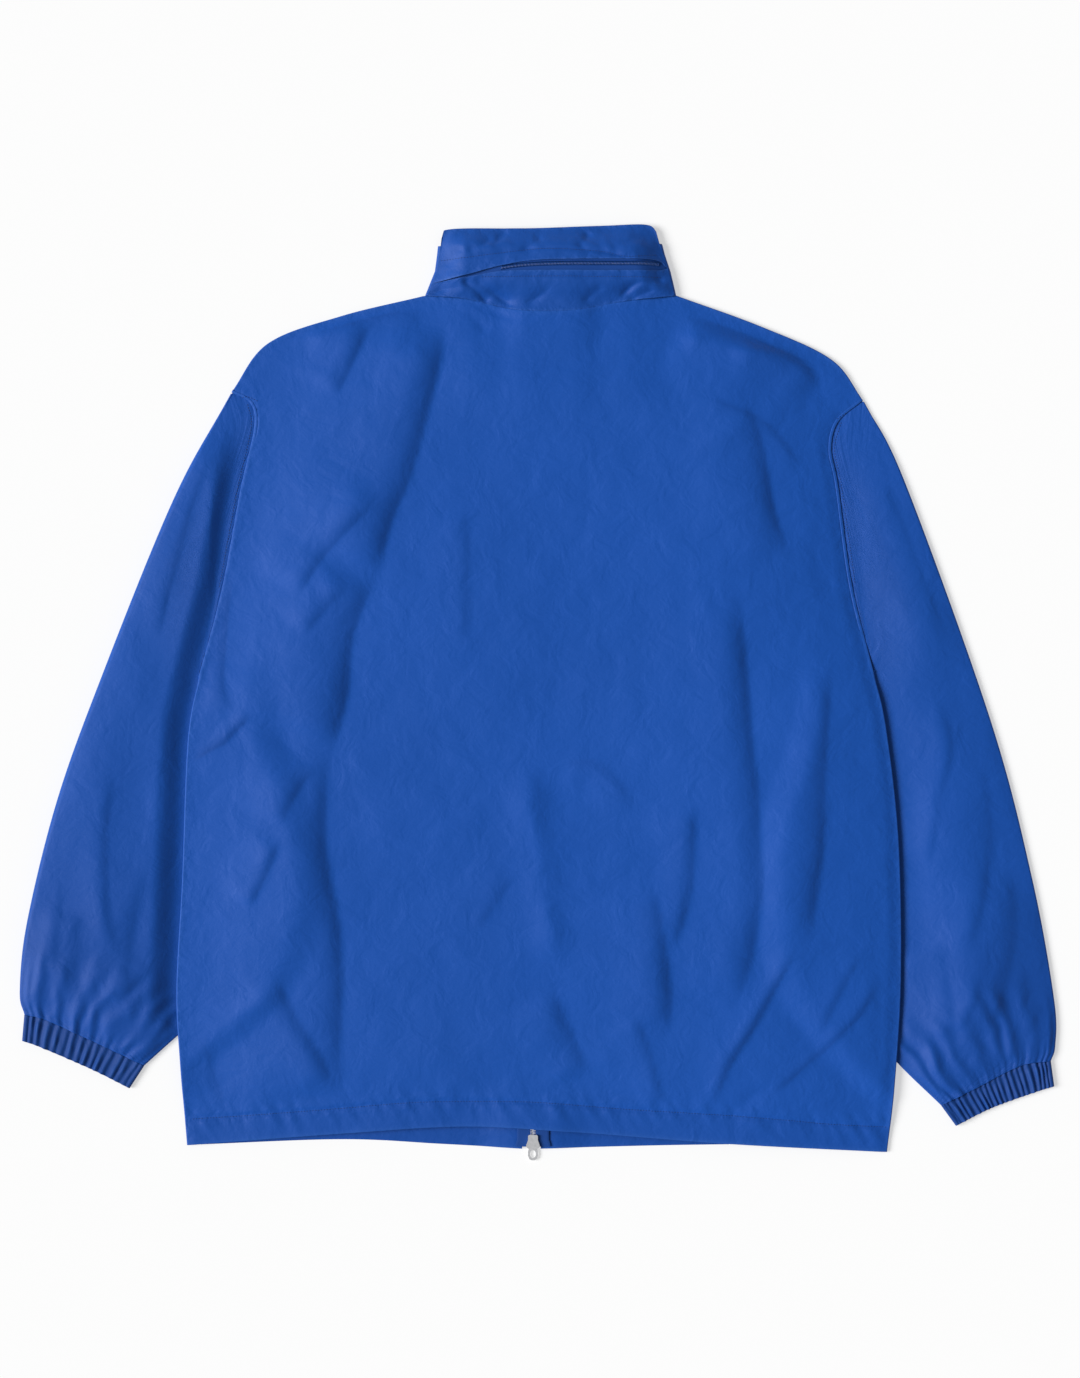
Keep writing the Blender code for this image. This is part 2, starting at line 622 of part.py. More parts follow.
def make_collar(look, zip_look):
    def raised(points, by):
        return [(x, y + by) for x, y in points]

    collar_band("collar_lower", raised(NECK_BACK, NECK_SEAM), STAND_BACK, raised(NECK_FRONT, NECK_SEAM),
                raised(BAND_FRONT, -SEAM), WALL / 2, collar_top_z, front_z, look)
    collar_band("collar_upper", FLAP_BACK, TOP_BACK, BAND_FRONT, TOP_FRONT, WALL / 2,
                collar_top_z, front_z, look)
    collar_band("collar_inner", raised(NECK_BACK, INNER_LOW), raised(TOP_BACK, -INNER_HIGH),
                raised(NECK_FRONT, INNER_LOW), raised(TOP_FRONT, -INNER_HIGH), INNER_INSET,
                inner_back_z, inner_front_z, look)

    rows = []
    for share in np.linspace(0.0, 1.0, 5):
        line = []
        for x in np.linspace(-80, 102, 20):
            y = (read(STAND_BACK, x) - 5) * (1 - share) + (read(FLAP_BACK, x) + 5) * share
            line.append((x, y, collar_top_z(x, y) - 1.9))
        rows.append(line)
    sheet("hood_zip", rows, zip_look)


def make_hood_roll(look):
    """The rolled hood: round loops along x, squeezed between the collar's two layers."""
    middle, half, centre_y, reach = 10.0, 84.0, 376.0, 20.0
    bm = bmesh.new()
    loops = []
    for u in np.linspace(-1, 1, 13):
        x = middle + half * u
        size = (1 - abs(u) ** 4 * 0.75)
        loop = []
        for k in range(14):
            turn = 2 * pi * k / 14
            y = centre_y + reach * size * cos(turn)
            low = inner_back_z(x, y) + WALL / 2 + SEAM
            high = collar_top_z(x, y) - 3.2
            z = (low + high) / 2 + (high - low) / 2 * size * sin(turn)
            loop.append(bm.verts.new((x * MM, y * MM, z * MM)))
        loops.append(loop)
    for a, b in zip(loops, loops[1:]):
        for i in range(len(a)):
            j = (i + 1) % len(a)
            bm.faces.new((a[i], a[j], b[j], b[i]))
    bm.faces.new(loops[0])
    bm.faces.new(loops[-1][::-1])
    bmesh.ops.recalc_face_normals(bm, faces=bm.faces)
    mesh = bpy.data.meshes.new("hood_roll")
    bm.to_mesh(mesh)
    bm.free()
    mesh.shade_smooth()
    new_object("hood_roll", mesh, look)


# ---------------------------------------------------------------- main zip
def zip_z(y):
    """Middle of the zip's tape on its centre line."""
    return front_z(zip_x(y), y) + STACK


def zip_parting(y):
    """How far each side of the chain stands off the centre line inside a slider."""
    low = smooth_line(BOTTOM_SLIDER_Y - FLARE_FROM, BOTTOM_SLIDER_Y - FLARE_TO, y)
    high = smooth_line(TOP_SLIDER_Y + FLARE_FROM, TOP_SLIDER_Y + FLARE_TO, y)
    return (SLIDER_WIDE - SLIDER_NARROW) * (low + high)


def smooth_line(start, end, value):
    return np.clip((value - start) / (end - start), 0.0, 1.0)


def make_zip(look):
    knots = [ZIP_END_HEM, BOTTOM_SLIDER_Y - FLARE_TO, BOTTOM_SLIDER_Y - FLARE_FROM, BOTTOM_SLIDER_Y]
    knots += list(np.linspace(BOTTOM_SLIDER_Y + 10, BOTTOM_SLIDER_Y + 60, 5))
    knots += list(np.linspace(-280, 270, 10))
    knots += list(np.linspace(TOP_SLIDER_Y - 62, TOP_SLIDER_Y - 12, 5))
    knots += [TOP_SLIDER_Y, TOP_SLIDER_Y + FLARE_FROM, TOP_SLIDER_Y + FLARE_TO, ZIP_END_NECK]
    section = [(TAPE_REACH, 0.5), (CHAIN_HALF, 0.5), (CHAIN_HALF, CHAIN_RISE), (SEAM / 2, CHAIN_RISE),
               (SEAM / 2, -CHAIN_RISE), (CHAIN_HALF, -CHAIN_RISE), (CHAIN_HALF, -0.5), (TAPE_REACH, -0.5)]
    for side, sign in (("left", -1), ("right", 1)):
        bm = bmesh.new()
        loops = []
        for y in knots:
            centre = zip_x(y) + sign * zip_parting(y)
            loop = []
            for reach, rise in section:
                x = centre + sign * reach
                z = (front_z(x, y) + STACK if reach > CHAIN_HALF else zip_z(y)) + rise
                loop.append(bm.verts.new((x * MM, y * MM, z * MM)))
            loops.append(loop)
        for a, b in zip(loops, loops[1:]):
            for i in range(len(a)):
                j = (i + 1) % len(a)
                bm.faces.new((a[i], a[j], b[j], b[i]))
        bm.faces.new(loops[0])
        bm.faces.new(loops[-1][::-1])
        bmesh.ops.recalc_face_normals(bm, faces=bm.faces)
        mesh = bpy.data.meshes.new(f"zip_tape_{side}")
        bm.to_mesh(mesh)
        bm.free()
        new_object(f"zip_tape_{side}", mesh, look)


def slider_outline(margin):
    """Right half of the slider's plan, from its narrow end, less a margin."""
    return [(SLIDER_NARROW - margin, 0.0), (SLIDER_NARROW - margin, FLARE_FROM),
            (SLIDER_WIDE - margin, FLARE_TO), (SLIDER_WIDE - margin, SLIDER_LENGTH)]


def make_slider(name, y, direction, look):
    """A slider with its narrow end at y; direction is +1 when its wide end is towards the neck."""
    def whole(half):
        return half + [(-x, v) for x, v in reversed(half)]

    rounded = slider_outline(0.0)
    rounded[0] = (SLIDER_NARROW - 1.0, 0.0)
    rounded.insert(1, (SLIDER_NARROW, 1.0))
    rounded[-1] = (SLIDER_WIDE, SLIDER_LENGTH - 1.6)
    rounded.append((SLIDER_WIDE - 1.6, SLIDER_LENGTH))
    body = prism(name, whole(rounded), -SLIDER_RISE, SLIDER_RISE, look)

    lane = slider_outline(0.8)
    lane[0] = (lane[0][0], -2.0)
    lane[-1] = (lane[-1][0], SLIDER_LENGTH + 2.0)
    lane += [(1.35, SLIDER_LENGTH + 2.0), (1.35, 9.5), (0.4, 7.0)]
    cut(body, prism(f"{name}_lane", whole(lane), PLATE - SLIDER_RISE, SLIDER_RISE - PLATE, look))
    for side in (-1, 1):
        slot = [(side * 1.36, -2.0), (side * 9.0, -2.0), (side * 9.0, SLIDER_LENGTH + 2.0),
                (side * 1.36, SLIDER_LENGTH + 2.0)]
        cut(body, prism(f"{name}_slot_{'left' if side < 0 else 'right'}", slot, -0.8, 0.8, look))

    reach, leg, crown, inside = 3.0, 1.0, 0.8, BRIDGE_CLEAR
    foot, slope = 0.05, 0.8
    arch = [(-reach, foot), (-reach, -inside), (-reach + slope, -inside - crown),
            (reach - slope, -inside - crown), (reach, -inside), (reach, foot), (reach - leg, foot),
            (reach - leg, -inside), (leg - reach, -inside), (leg - reach, foot)]
    bridge = prism(f"{name}_bridge", arch, -0.8, 0.8, look)
    for vert in bridge.data.vertices:
        along, down, across = vert.co
        vert.co = (across, along + BRIDGE_AT * MM, down - SLIDER_RISE * MM)
    bridge.data.flip_normals()
    cut(body, bridge, "UNION")
    body.location = (zip_x(y) * MM, y * MM, zip_z(y) * MM)
    body.rotation_euler = (0.0, 0.0, 0.0 if direction > 0 else pi)
    return body


def make_pull(name, y, direction, look):
    """Pull tab with its bar on the hinge axis, hanging towards the hem."""
    half = [(2.3, 0.0), (2.3, -3.2), (3.6, -6.0), (4.4, -9.5), (4.4, -12.6), (3.2, -15.6),
            (1.2, -PULL_REACH)]
    plate = prism(name, half + [(-x, v) for x, v in reversed(half)], -0.5, 0.5, look)
    hole = [(1.3, 0.5), (1.3, -3.8), (-1.3, -3.8), (-1.3, 0.5)]
    cut(plate, prism(f"{name}_slot", hole, -1.0, 1.0, look))
    oval = [(2.6 * cos(radians(a)), -11.2 + 3.6 * sin(radians(a))) for a in range(0, 360, 24)]
    cut(plate, prism(f"{name}_oval", oval, -1.0, 1.0, look))
    bar = [(0.5 * cos(radians(a)), 0.5 * sin(radians(a))) for a in range(15, 375, 30)]
    axle = prism(f"{name}_bar", bar, -2.0, 2.0, look)
    for vert in axle.data.vertices:
        vert.co = (vert.co.z, vert.co.x, vert.co.y)
    cut(plate, axle, "UNION")
    axis_y = y + direction * BRIDGE_AT
    plate.location = (zip_x(y) * MM, axis_y * MM, (zip_z(y) - AXIS_DROP) * MM)


def main():
    for item in list(bpy.data.objects):
        bpy.data.objects.remove(item)
    blue = material("nylon_blue", BLUE, 0.55)
    cuff_blue = material("nylon_blue_gathered", CUFF_BLUE, 0.6)
    zip_blue = material("zip_blue", ZIP_BLUE, 0.6)
    silver = material("slider_metal", SILVER, 0.3, 1.0)
    make_body(blue)
    make_sleeves(blue, cuff_blue)
    make_collar(blue, zip_blue)
    make_hood_roll(blue)
    make_zip(zip_blue)
    for end, y, direction in (("bottom", BOTTOM_SLIDER_Y, -1), ("top", TOP_SLIDER_Y, 1)):
        make_slider(f"zip_slider_{end}", y, direction, silver)
        make_pull(f"zip_pull_{end}", y, direction, silver)


main()
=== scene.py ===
"""Hooded rain jacket of thin blue nylon, laid flat on a pale table with its back up.

Every piece is made where it lies: +X to the right, +Y towards the collar, z = 0 the table.
Sizes are in millimetres until a mesh is filled.
"""
import json

import bmesh
import bpy
import numpy as np
from mathutils import Matrix, Vector, noise
from mathutils.bvhtree import BVHTree

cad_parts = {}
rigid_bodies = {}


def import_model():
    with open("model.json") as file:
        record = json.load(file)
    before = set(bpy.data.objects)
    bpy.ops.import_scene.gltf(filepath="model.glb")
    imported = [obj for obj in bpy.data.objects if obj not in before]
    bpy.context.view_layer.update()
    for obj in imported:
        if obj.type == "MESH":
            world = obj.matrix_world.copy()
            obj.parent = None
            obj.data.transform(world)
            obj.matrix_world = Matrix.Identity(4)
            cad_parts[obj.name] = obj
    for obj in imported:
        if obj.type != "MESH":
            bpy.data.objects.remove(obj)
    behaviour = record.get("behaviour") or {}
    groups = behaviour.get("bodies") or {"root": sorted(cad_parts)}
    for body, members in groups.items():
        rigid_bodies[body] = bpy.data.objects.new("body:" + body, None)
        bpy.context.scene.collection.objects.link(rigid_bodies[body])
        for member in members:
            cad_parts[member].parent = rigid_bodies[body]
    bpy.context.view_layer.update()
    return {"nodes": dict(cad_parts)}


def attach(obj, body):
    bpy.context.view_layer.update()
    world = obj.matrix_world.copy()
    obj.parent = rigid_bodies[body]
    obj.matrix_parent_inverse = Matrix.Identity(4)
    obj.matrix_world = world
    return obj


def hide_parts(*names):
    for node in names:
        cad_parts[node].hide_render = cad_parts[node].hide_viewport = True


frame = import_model()

# ---------------------------------------------------------------- table, light and camera
# A pale backlit acrylic table, seen from straight above, under one broad soft light from the
# left and an even bright room.
scene = bpy.context.scene
scene.view_settings.view_transform = "Standard"

room = bpy.data.worlds.new("room")
room.use_nodes = True
sky = room.node_tree.nodes["Background"].inputs
sky["Color"].default_value = (1.0, 1.0, 1.0, 1.0)
sky["Strength"].default_value = 0.27
scene.world = room

lamp = bpy.data.lights.new("soft_lamp", "SUN")
lamp.energy = 4.20
lamp.angle = 0.55
lamp_object = bpy.data.objects.new("soft_lamp", lamp)
lamp_object.rotation_euler = Vector((-0.82, -0.02, 0.60)).to_track_quat("Z", "Y").to_euler()
scene.collection.objects.link(lamp_object)

bm = bmesh.new()
bmesh.ops.create_grid(bm, x_segments=2, y_segments=2, size=5.0)
bmesh.ops.translate(bm, verts=bm.verts, vec=(0.0, 0.0, -0.0003))
table_mesh = bpy.data.meshes.new("table")
bm.to_mesh(table_mesh)
bm.free()
table = bpy.data.objects.new("table", table_mesh)
scene.collection.objects.link(table)
table_paint = bpy.data.materials.new("table_paint")
table_paint.use_nodes = True
for label, value in (("Base Color", (0.45, 0.45, 0.45, 1.0)), ("Roughness", 0.95),
                     ("Specular IOR Level", 0.1), ("Emission Color", (1.0, 1.0, 1.0, 1.0)),
                     ("Emission Strength", 0.50)):
    table_paint.node_tree.nodes["Principled BSDF"].inputs[label].default_value = value
table_mesh.materials.append(table_paint)

CAMERA_HEIGHT, VIEW_HEIGHT, SENSOR = 3.0, 1.2126, 36.0
camera = bpy.data.objects.new("camera", bpy.data.cameras.new("camera"))
camera.location = (0.0016, 0.0031, CAMERA_HEIGHT)
camera.data.sensor_width = SENSOR
camera.data.lens = SENSOR * CAMERA_HEIGHT / VIEW_HEIGHT
camera.data.clip_end = 50.0
scene.collection.objects.link(camera)
scene.camera = camera

# ---------------------------------------------------------------- nylon cloth
# Thin plain-woven nylon with a light water-repellent finish: fine threads both ways, faint
# uneven dye, small crinkles, puckers beside every seam and a paler rub on the folded edges.
def effect(name, vectors, values, results):
    """A node group with vector and number inputs, and results that are numbers."""
    made = bpy.data.node_groups.new(name, "ShaderNodeTree")
    for label in vectors:
        made.interface.new_socket(label, in_out="INPUT", socket_type="NodeSocketVector")
    for label, value in values.items():
        socket = made.interface.new_socket(label, in_out="INPUT", socket_type="NodeSocketFloat")
        socket.default_value = value
    for label in results:
        made.interface.new_socket(label, in_out="OUTPUT", socket_type="NodeSocketFloat")
    return made


def node(tree, kind, links=None, **settings):
    """A node with its settings, and values or links for its inputs."""
    made = tree.nodes.new(kind)
    for key, value in settings.items():
        setattr(made, key, value)
    for key, value in (links or {}).items():
        if isinstance(value, bpy.types.NodeSocket):
            tree.links.new(value, made.inputs[key])
        else:
            made.inputs[key].default_value = value
    return made


def reckon(tree, operation, *values):
    """The result of a Math node."""
    return node(tree, "ShaderNodeMath", dict(enumerate(values)), operation=operation).outputs[0]


def blend(tree, share, first, last, **settings):
    """A colour between two, by a share."""
    mixed = node(tree, "ShaderNodeMix", {0: share, 6: first, 7: last}, data_type="RGBA", **settings)
    return mixed.outputs[2]


def new_finish(name):
    """A new material, with its tree, its shader and the place on the object."""
    made = bpy.data.materials.new(name)
    made.use_nodes = True
    tree = made.node_tree
    return made, tree, tree.nodes["Principled BSDF"], node(tree, "ShaderNodeTexCoord").outputs["Object"]


weave = effect("plain_weave", ["Cut"], {"Threads": 9000.0}, ["Height", "Streaks"])
entry = node(weave, "NodeGroupInput")
parts = node(weave, "ShaderNodeSeparateXYZ", {0: entry.outputs["Cut"]})
waves = [reckon(weave, "SINE", reckon(weave, "MULTIPLY", parts.outputs[axis], entry.outputs["Threads"]))
         for axis in (0, 1)]
streaks = []
for stretch in ((1400.0, 22.0, 1.0), (26.0, 1500.0, 1.0)):
    drawn = node(weave, "ShaderNodeVectorMath", {0: entry.outputs["Cut"], 1: stretch}, operation="MULTIPLY")
    streaks.append(node(weave, "ShaderNodeTexNoise",
                        {"Vector": drawn.outputs[0], "Scale": 1.0, "Detail": 2.0}).outputs["Fac"])
node(weave, "NodeGroupOutput", {"Height": reckon(weave, "MULTIPLY", *waves),
                                "Streaks": reckon(weave, "ADD", *streaks)})

crinkle = effect("crinkle_and_pucker", ["Place", "Cut"], {"Seam": 0.0, "Crinkle": 0.5, "Pucker": 0.6},
                 ["Height"])
entry = node(crinkle, "NodeGroupInput")
soft = node(crinkle, "ShaderNodeTexNoise",
            {"Vector": entry.outputs["Place"], "Scale": 42.0, "Detail": 3.0, "Distortion": 0.7})
tiny = node(crinkle, "ShaderNodeTexNoise",
            {"Vector": entry.outputs["Place"], "Scale": 135.0, "Detail": 3.0, "Distortion": 1.2})
fine = node(crinkle, "ShaderNodeTexNoise",
            {"Vector": entry.outputs["Cut"], "Scale": 170.0, "Detail": 2.0, "Distortion": 0.4})
both_scales = reckon(crinkle, "MULTIPLY_ADD", tiny.outputs["Fac"], 0.20, soft.outputs["Fac"])
soft_part = reckon(crinkle, "MULTIPLY", both_scales, entry.outputs["Crinkle"])
near_seam = reckon(crinkle, "MULTIPLY", entry.outputs["Seam"], entry.outputs["Pucker"])
node(crinkle, "NodeGroupOutput",
     {"Height": reckon(crinkle, "MULTIPLY_ADD", fine.outputs["Fac"], near_seam, soft_part)})


# The tint that darkens the cloth where two layers lie together and where shade is painted on.
DEEPER_FOR_LAYERS_AND_SHADE = (0.74, 0.79, 0.81, 1.0)


def nylon(name, colour, worn, rough=0.55, threads=9000.0, relief=0.02, crinkles=1.0, puckers=0.8):
    """Woven nylon in one dye lot; it is deeper where two layers lie together, and where a mask lays painted
    shade on it.
    """
    made, tree, shader, place = new_finish(name)
    for label, value in (("Specular IOR Level", 0.22), ("Sheen Weight", 0.06), ("Sheen Roughness", 0.45),
                         ("Sheen Tint", (0.45, 0.62, 1.0, 1.0))):
        shader.inputs[label].default_value = value
    cut = node(tree, "ShaderNodeUVMap", uv_map="cut").outputs["UV"]
    rub, seam, layers_and_painted_shade = (node(tree, "ShaderNodeAttribute", attribute_name=label).outputs["Fac"]
                         for label in ("wear", "seam", "layers_and_painted_shade"))
    cloth_threads = node(tree, "ShaderNodeGroup", node_tree=weave)
    cloth_threads.inputs["Threads"].default_value = threads
    tree.links.new(cut, cloth_threads.inputs["Cut"])
    uneven = node(tree, "ShaderNodeGroup", node_tree=crinkle)
    for label, value in (("Crinkle", crinkles), ("Pucker", puckers)):
        uneven.inputs[label].default_value = value
    for label, source in (("Place", place), ("Cut", cut), ("Seam", seam)):
        tree.links.new(source, uneven.inputs[label])

    dye = node(tree, "ShaderNodeTexNoise", {"Vector": place, "Scale": 7.0, "Detail": 4.0}).outputs["Fac"]
    shade = reckon(tree, "MULTIPLY_ADD", cloth_threads.outputs["Streaks"], 0.16, -0.16)
    blotch = reckon(tree, "MULTIPLY_ADD", dye, 0.5, shade)
    deep, light = (tuple(c * lot for c in colour) + (1.0,) for lot in (0.86, 1.14))
    dyed = blend(tree, blotch, deep, light)
    rubbed = blend(tree, reckon(tree, "MULTIPLY", rub, dye), dyed, worn + (1.0,))
    # Painted shade and two-layer depth: the mask multiplies the colour by the deeper tint.
    layered_and_shaded_colour = blend(tree, layers_and_painted_shade, rubbed, DEEPER_FOR_LAYERS_AND_SHADE, blend_type="MULTIPLY")
    gloss = reckon(tree, "MULTIPLY_ADD", dye, 0.16, rough - 0.08)
    height = reckon(tree, "MULTIPLY_ADD", cloth_threads.outputs["Height"], relief, uneven.outputs["Height"])
    bump = node(tree, "ShaderNodeBump", {"Strength": 1.0, "Distance": 0.001, "Height": height})
    for label, source in (("Base Color", layered_and_shaded_colour), ("Roughness", gloss), ("Normal", bump.outputs["Normal"])):
        tree.links.new(source, shader.inputs[label])
    return made


shell_cloth = nylon("shell_nylon", (0.0040, 0.0760, 0.3950), (0.030, 0.120, 0.440))

# ---------------------------------------------------------------- back
# One large panel from the neck to the hem, its sides and shoulders rolled over to the
# seams that join it to the fronts, and its hem turned up and sewn 23 mm above the edge.

# Outlines seen from above: sides, armholes, shoulders, neck and hem, and then the sleeves'
# inner folds, which lie between the back and the fronts and lift both
SIDE_LEFT = [(-309, -398), (-315, -323), (-318, -260), (-313, -165), (-308, -42), (-298, 15)]
ARM_LEFT = [(-298, 15), (-278, 92), (-262, 178), (-250, 232), (-253, 254), (-270, 264)]
SIDE_RIGHT = [(307, -404), (313, -350), (319, -253), (317, -130), (306, -31), (295, 18)]
ARM_RIGHT = [(295, 18), (276, 96), (264, 182), (258, 214), (264, 238), (286, 257)]
SHOULDER_LEFT = [(-270, 264), (-238, 307), (-174, 331), (-100, 349)]
SHOULDER_RIGHT = [(122, 349), (196, 322), (258, 293), (286, 257)]
NECK_BACK = [(-100, 349), (-63, 346), (-18, 336), (32, 336), (76, 344), (122, 349)]
HEM_BACK = [(-309, -398), (-181, -388), (-65, -381), (33, -386), (162, -396), (307, -404)]
HEM_STITCH = [(-309, -375), (-249, -371), (-172, -365), (-112, -360), (-42, -359), (2, -360), (66, -365),
              (113, -368), (164, -371), (215, -375), (258, -379), (311, -382)]
SLEEVE_INNER_LEFT = [(-299, 15), (-296, 4), (-293, -8), (-288, -25), (-280, -48), (-270, -74), (-258, -104),
                     (-249, -142), (-249, -190), (-259, -235), (-283, -273), (-317, -302), (-346, -328)]
SLEEVE_INNER_RIGHT = [(296, 18), (293, 7), (290, -5), (285, -24), (277, -48), (267, -76), (256, -108),
                      (249, -144), (249, -190), (256, -235), (276, -280), (315, -325), (354, -363)]
# A fold: how steep its bank is, how wide, and its line. The bank stands on the right of the
# line's run and falls steeply to its foot on the line. BANK_STEEP makes every fold steeper.
BANK_STEEP = 1.4
BACK_BANKS = [
    (0.40, 24, [(-80, 330), (-87, 285), (-98, 240), (-112, 190), (-130, 145), (-143, 90)]),
    (0.38, 28, [(-140, 105), (-155, 72), (-164, 40), (-167, 0), (-174, -30), (-184, -60)]),
    (0.38, 20, [(-182, -35), (-186, -90), (-187, -130), (-180, -175), (-174, -210), (-172, -260),
               (-174, -320), (-170, -365)]),
    (0.34, 12, [(-136, 170), (-164, 145), (-190, 116), (-212, 80)]),
    (0.32, 11, [(-165, 92), (-184, 75), (-206, 48)]),
    (0.36, 11, [(-194, -65), (-211, -88), (-226, -118)]),
    (0.44, 7, [(-225, -128), (-238, -160), (-253, -190)]),
    (0.34, 15, [(-231, -245), (-212, -285), (-190, -320), (-177, -350)]),
    (0.20, 8, [(-293, -300), (-283, -340), (-272, -367)]),
    (0.34, 22, [(172, 105), (181, 40), (187, -35), (193, -95), (196, -165), (192, -210), (181, -258),
               (162, -290)]),
    (0.32, 20, [(258, 30), (252, -60), (250, -130), (245, -175), (237, -228)]),
    (0.80, 5, [(228, -223), (210, -257), (190, -293), (168, -328), (153, -366)]),
    (0.45, 4, [(303, -250), (280, -285), (252, -313), (228, -334), (198, -360)]),
    (0.40, 11, [(138, -95), (137, -140), (132, -185), (118, -230)]),
    (0.40, 15, [(101, -165), (110, -212), (116, -262), (113, -308)]),
    (0.28, 15, [(12, -258), (30, -300), (46, -335)]),
    (0.32, 6, [(84, -278), (98, -315), (112, -365)]),
    (0.28, 6, [(287, -228), (270, -255), (245, -305)]),
    (0.36, 13, [(-146, 326), (-165, 284), (-178, 258)]),
    (0.20, 10, [(-62, 165), (-60, 82), (-63, 35)]),
    (0.34, 17, [(179, 258), (195, 225), (208, 158), (223, 117)]),
    (0.60, 5, [(-249, -18), (-264, -33), (-280, -48), (-305, -60)]),
    (0.34, 15, [(-268, 110), (-273, 60), (-275, 5), (-262, -18)]),
    (0.20, 9, [(20, -60), (55, -63), (90, -100)]),
    (0.22, 8, [(-20, -160), (-38, -187), (-54, -212)]),
    (0.36, 6, [(-209, 312), (-176, 322), (-134, 332), (-98, 338)]),
    (0.40, 7, [(165, 303), (204, 302), (232, 291), (250, 266)]),
    (0.40, 18, [(122, 334), (168, 319), (214, 300), (252, 277)]),
    (0.30, 6, [(143, 262), (178, 249), (208, 230), (231, 197)]),
]
# A ridge or a groove: its height or depth, how far it reaches left and right, and its line
BACK_RIDGES = [
    (3.0, 18, 13, [(-12, -58), (-5, -105), (3, -150), (9, -200), (20, -245)]),
    (2.4, 10, 6, [(118, 314), (152, 308), (194, 299), (232, 293)]),
    (-1.4, 4, 4, [(-62, 360), (-48, 345), (-36, 334), (-16, 327)]),
    (-1.2, 3, 4, [(72, 344), (85, 357), (103, 361)]),
    (-0.9, 3, 4, [(-62, 336), (-54, 326), (-44, 314)]),
    (-1.0, 6, 6, [(160, -384), (175, -366), (200, -348), (248, -338)]),
]
ZIP_X = (-4.6, 9.5)
HEM_CASING = 23
# Heights above the table: the middle of the lowest cloth, how far sleeves and sliders lift the
# fronts over them, and how far the back's middle lies above the fronts'
LOWEST, SLEEVE_LIFT, SLIDER_LIFT, BACK_LIFT = 0.3, 3.8, 2.6, 2.4
MM = 0.001


def ease(start, end, value):
    """0 before start, 1 after end, an even S between."""
    t = np.clip((np.asarray(value, float) - start) / (end - start), 0.0, 1.0)
    return t * t * (3.0 - 2.0 * t)


def curve(points, shares):
    """Points at shares of the length of a smooth curve through the given ones."""
    if np.isscalar(shares):
        shares = np.linspace(0.0, 1.0, shares)
    given = np.array(points, float)
    given = np.vstack([2 * given[0] - given[1], given, 2 * given[-1] - given[-2]])
    fine = []
    for a, b, c, d in zip(given, given[1:], given[2:], given[3:]):
        for t in np.linspace(0.0, 1.0, 16, endpoint=False):
            bend = (2 * a - 5 * b + 4 * c - d) * t * t + (3 * b - a - 3 * c + d) * t ** 3
            fine.append(0.5 * (2 * b + (c - a) * t + bend))
    return along(np.array(fine + [given[-2]]), shares)


def lengths(line):
    """Length of a line up to each of its points."""
    return np.concatenate([[0.0], np.cumsum(np.linalg.norm(np.diff(line, axis=0), axis=1))])


def along(line, shares):
    """Points at shares of the length of a line."""
    run = lengths(line)
    at = np.asarray(shares) * run[-1]
    return np.column_stack([np.interp(at, run, line[:, k]) for k in range(line.shape[1])])


def joined(*lines):
    """Lines that follow each other, with each shared point kept once."""
    return np.vstack([lines[0]] + [line[1:] for line in lines[1:]])


def from_line(x, y, line):
    """Distance from a line, the side (+1 to the left of its run) and the share along it."""
    place = np.stack([np.asarray(x, float), np.asarray(y, float)], -1)
    start, step = line[:-1], np.diff(line, axis=0)
    rel = place[..., None, :] - start
    t = np.clip(np.sum(rel * step, -1) / np.sum(step * step, -1), 0.0, 1.0)
    away = np.linalg.norm(rel - t[..., None] * step, axis=-1)
    best = away.argmin(-1)
    pick = best[..., None]
    cross = step[:, 0] * rel[..., 1] - step[:, 1] * rel[..., 0]
    side = np.sign(np.take_along_axis(cross, pick, -1)[..., 0])
    share = (best + np.take_along_axis(t, pick, -1)[..., 0]) / len(step)
    return np.take_along_axis(away, pick, -1)[..., 0], side, share


def ripple(x, y, size, seed):
    """Smooth uneven waves from about -1 to 1, a size across."""
    x, y = np.broadcast_arrays(np.asarray(x, float), np.asarray(y, float))
    flat = [noise.noise(Vector((a / size, b / size, seed * 7.31))) for a, b in zip(x.ravel(), y.ravel())]
    return np.array(flat).reshape(x.shape) * 1.6


def beside(x, y, folds):
    """Each fold's number and sizes, with every point's distance, side and share along it."""
    for number, (*sizes, route) in enumerate(folds):
        yield number, sizes, *from_line(x, y, curve(route, 26))


def uneven_run(number, share):
    """A fold's height along its line, a little different in each fold."""
    return 0.9 + 0.25 * np.sin(9 * share + 2 * number)


def banks(x, y, folds):
    """Cloth pushed up beside lines, steep on the side of the line."""
    total = np.zeros(np.shape(x))
    for number, (slope, width), away, side, share in beside(x, y, folds):
        away = np.where(side < 0, away, -away)
        reach = 0.5 * (away + np.sqrt(away * away + 1.6)) / width
        ends = ease(0.0, 0.18, share) * (1 - ease(0.82, 1.0, share))
        total += BANK_STEEP * slope * width * ends * reach * np.exp(-reach) * uneven_run(number, share)
    return total


def fold_foot_painted_shade(x, y, folds):
    """0 to 1 of painted shade at the foot of each fold bank, where its hollow falls."""
    total = np.zeros(np.shape(x))
    for number, (slope, width), away, side, share in beside(x, y, folds):
        away = np.where(side < 0, away, -3.0 * away)
        ends = ease(0.0, 0.25, share) * (1 - ease(0.75, 1.0, share))
        over = ease(-4.0, 1.5, away) * np.exp(-np.maximum(away, 0) / (0.9 * width))
        total = np.maximum(total, 2.3 * slope * ends * over)
    return np.clip(total, 0.0, 1.0)


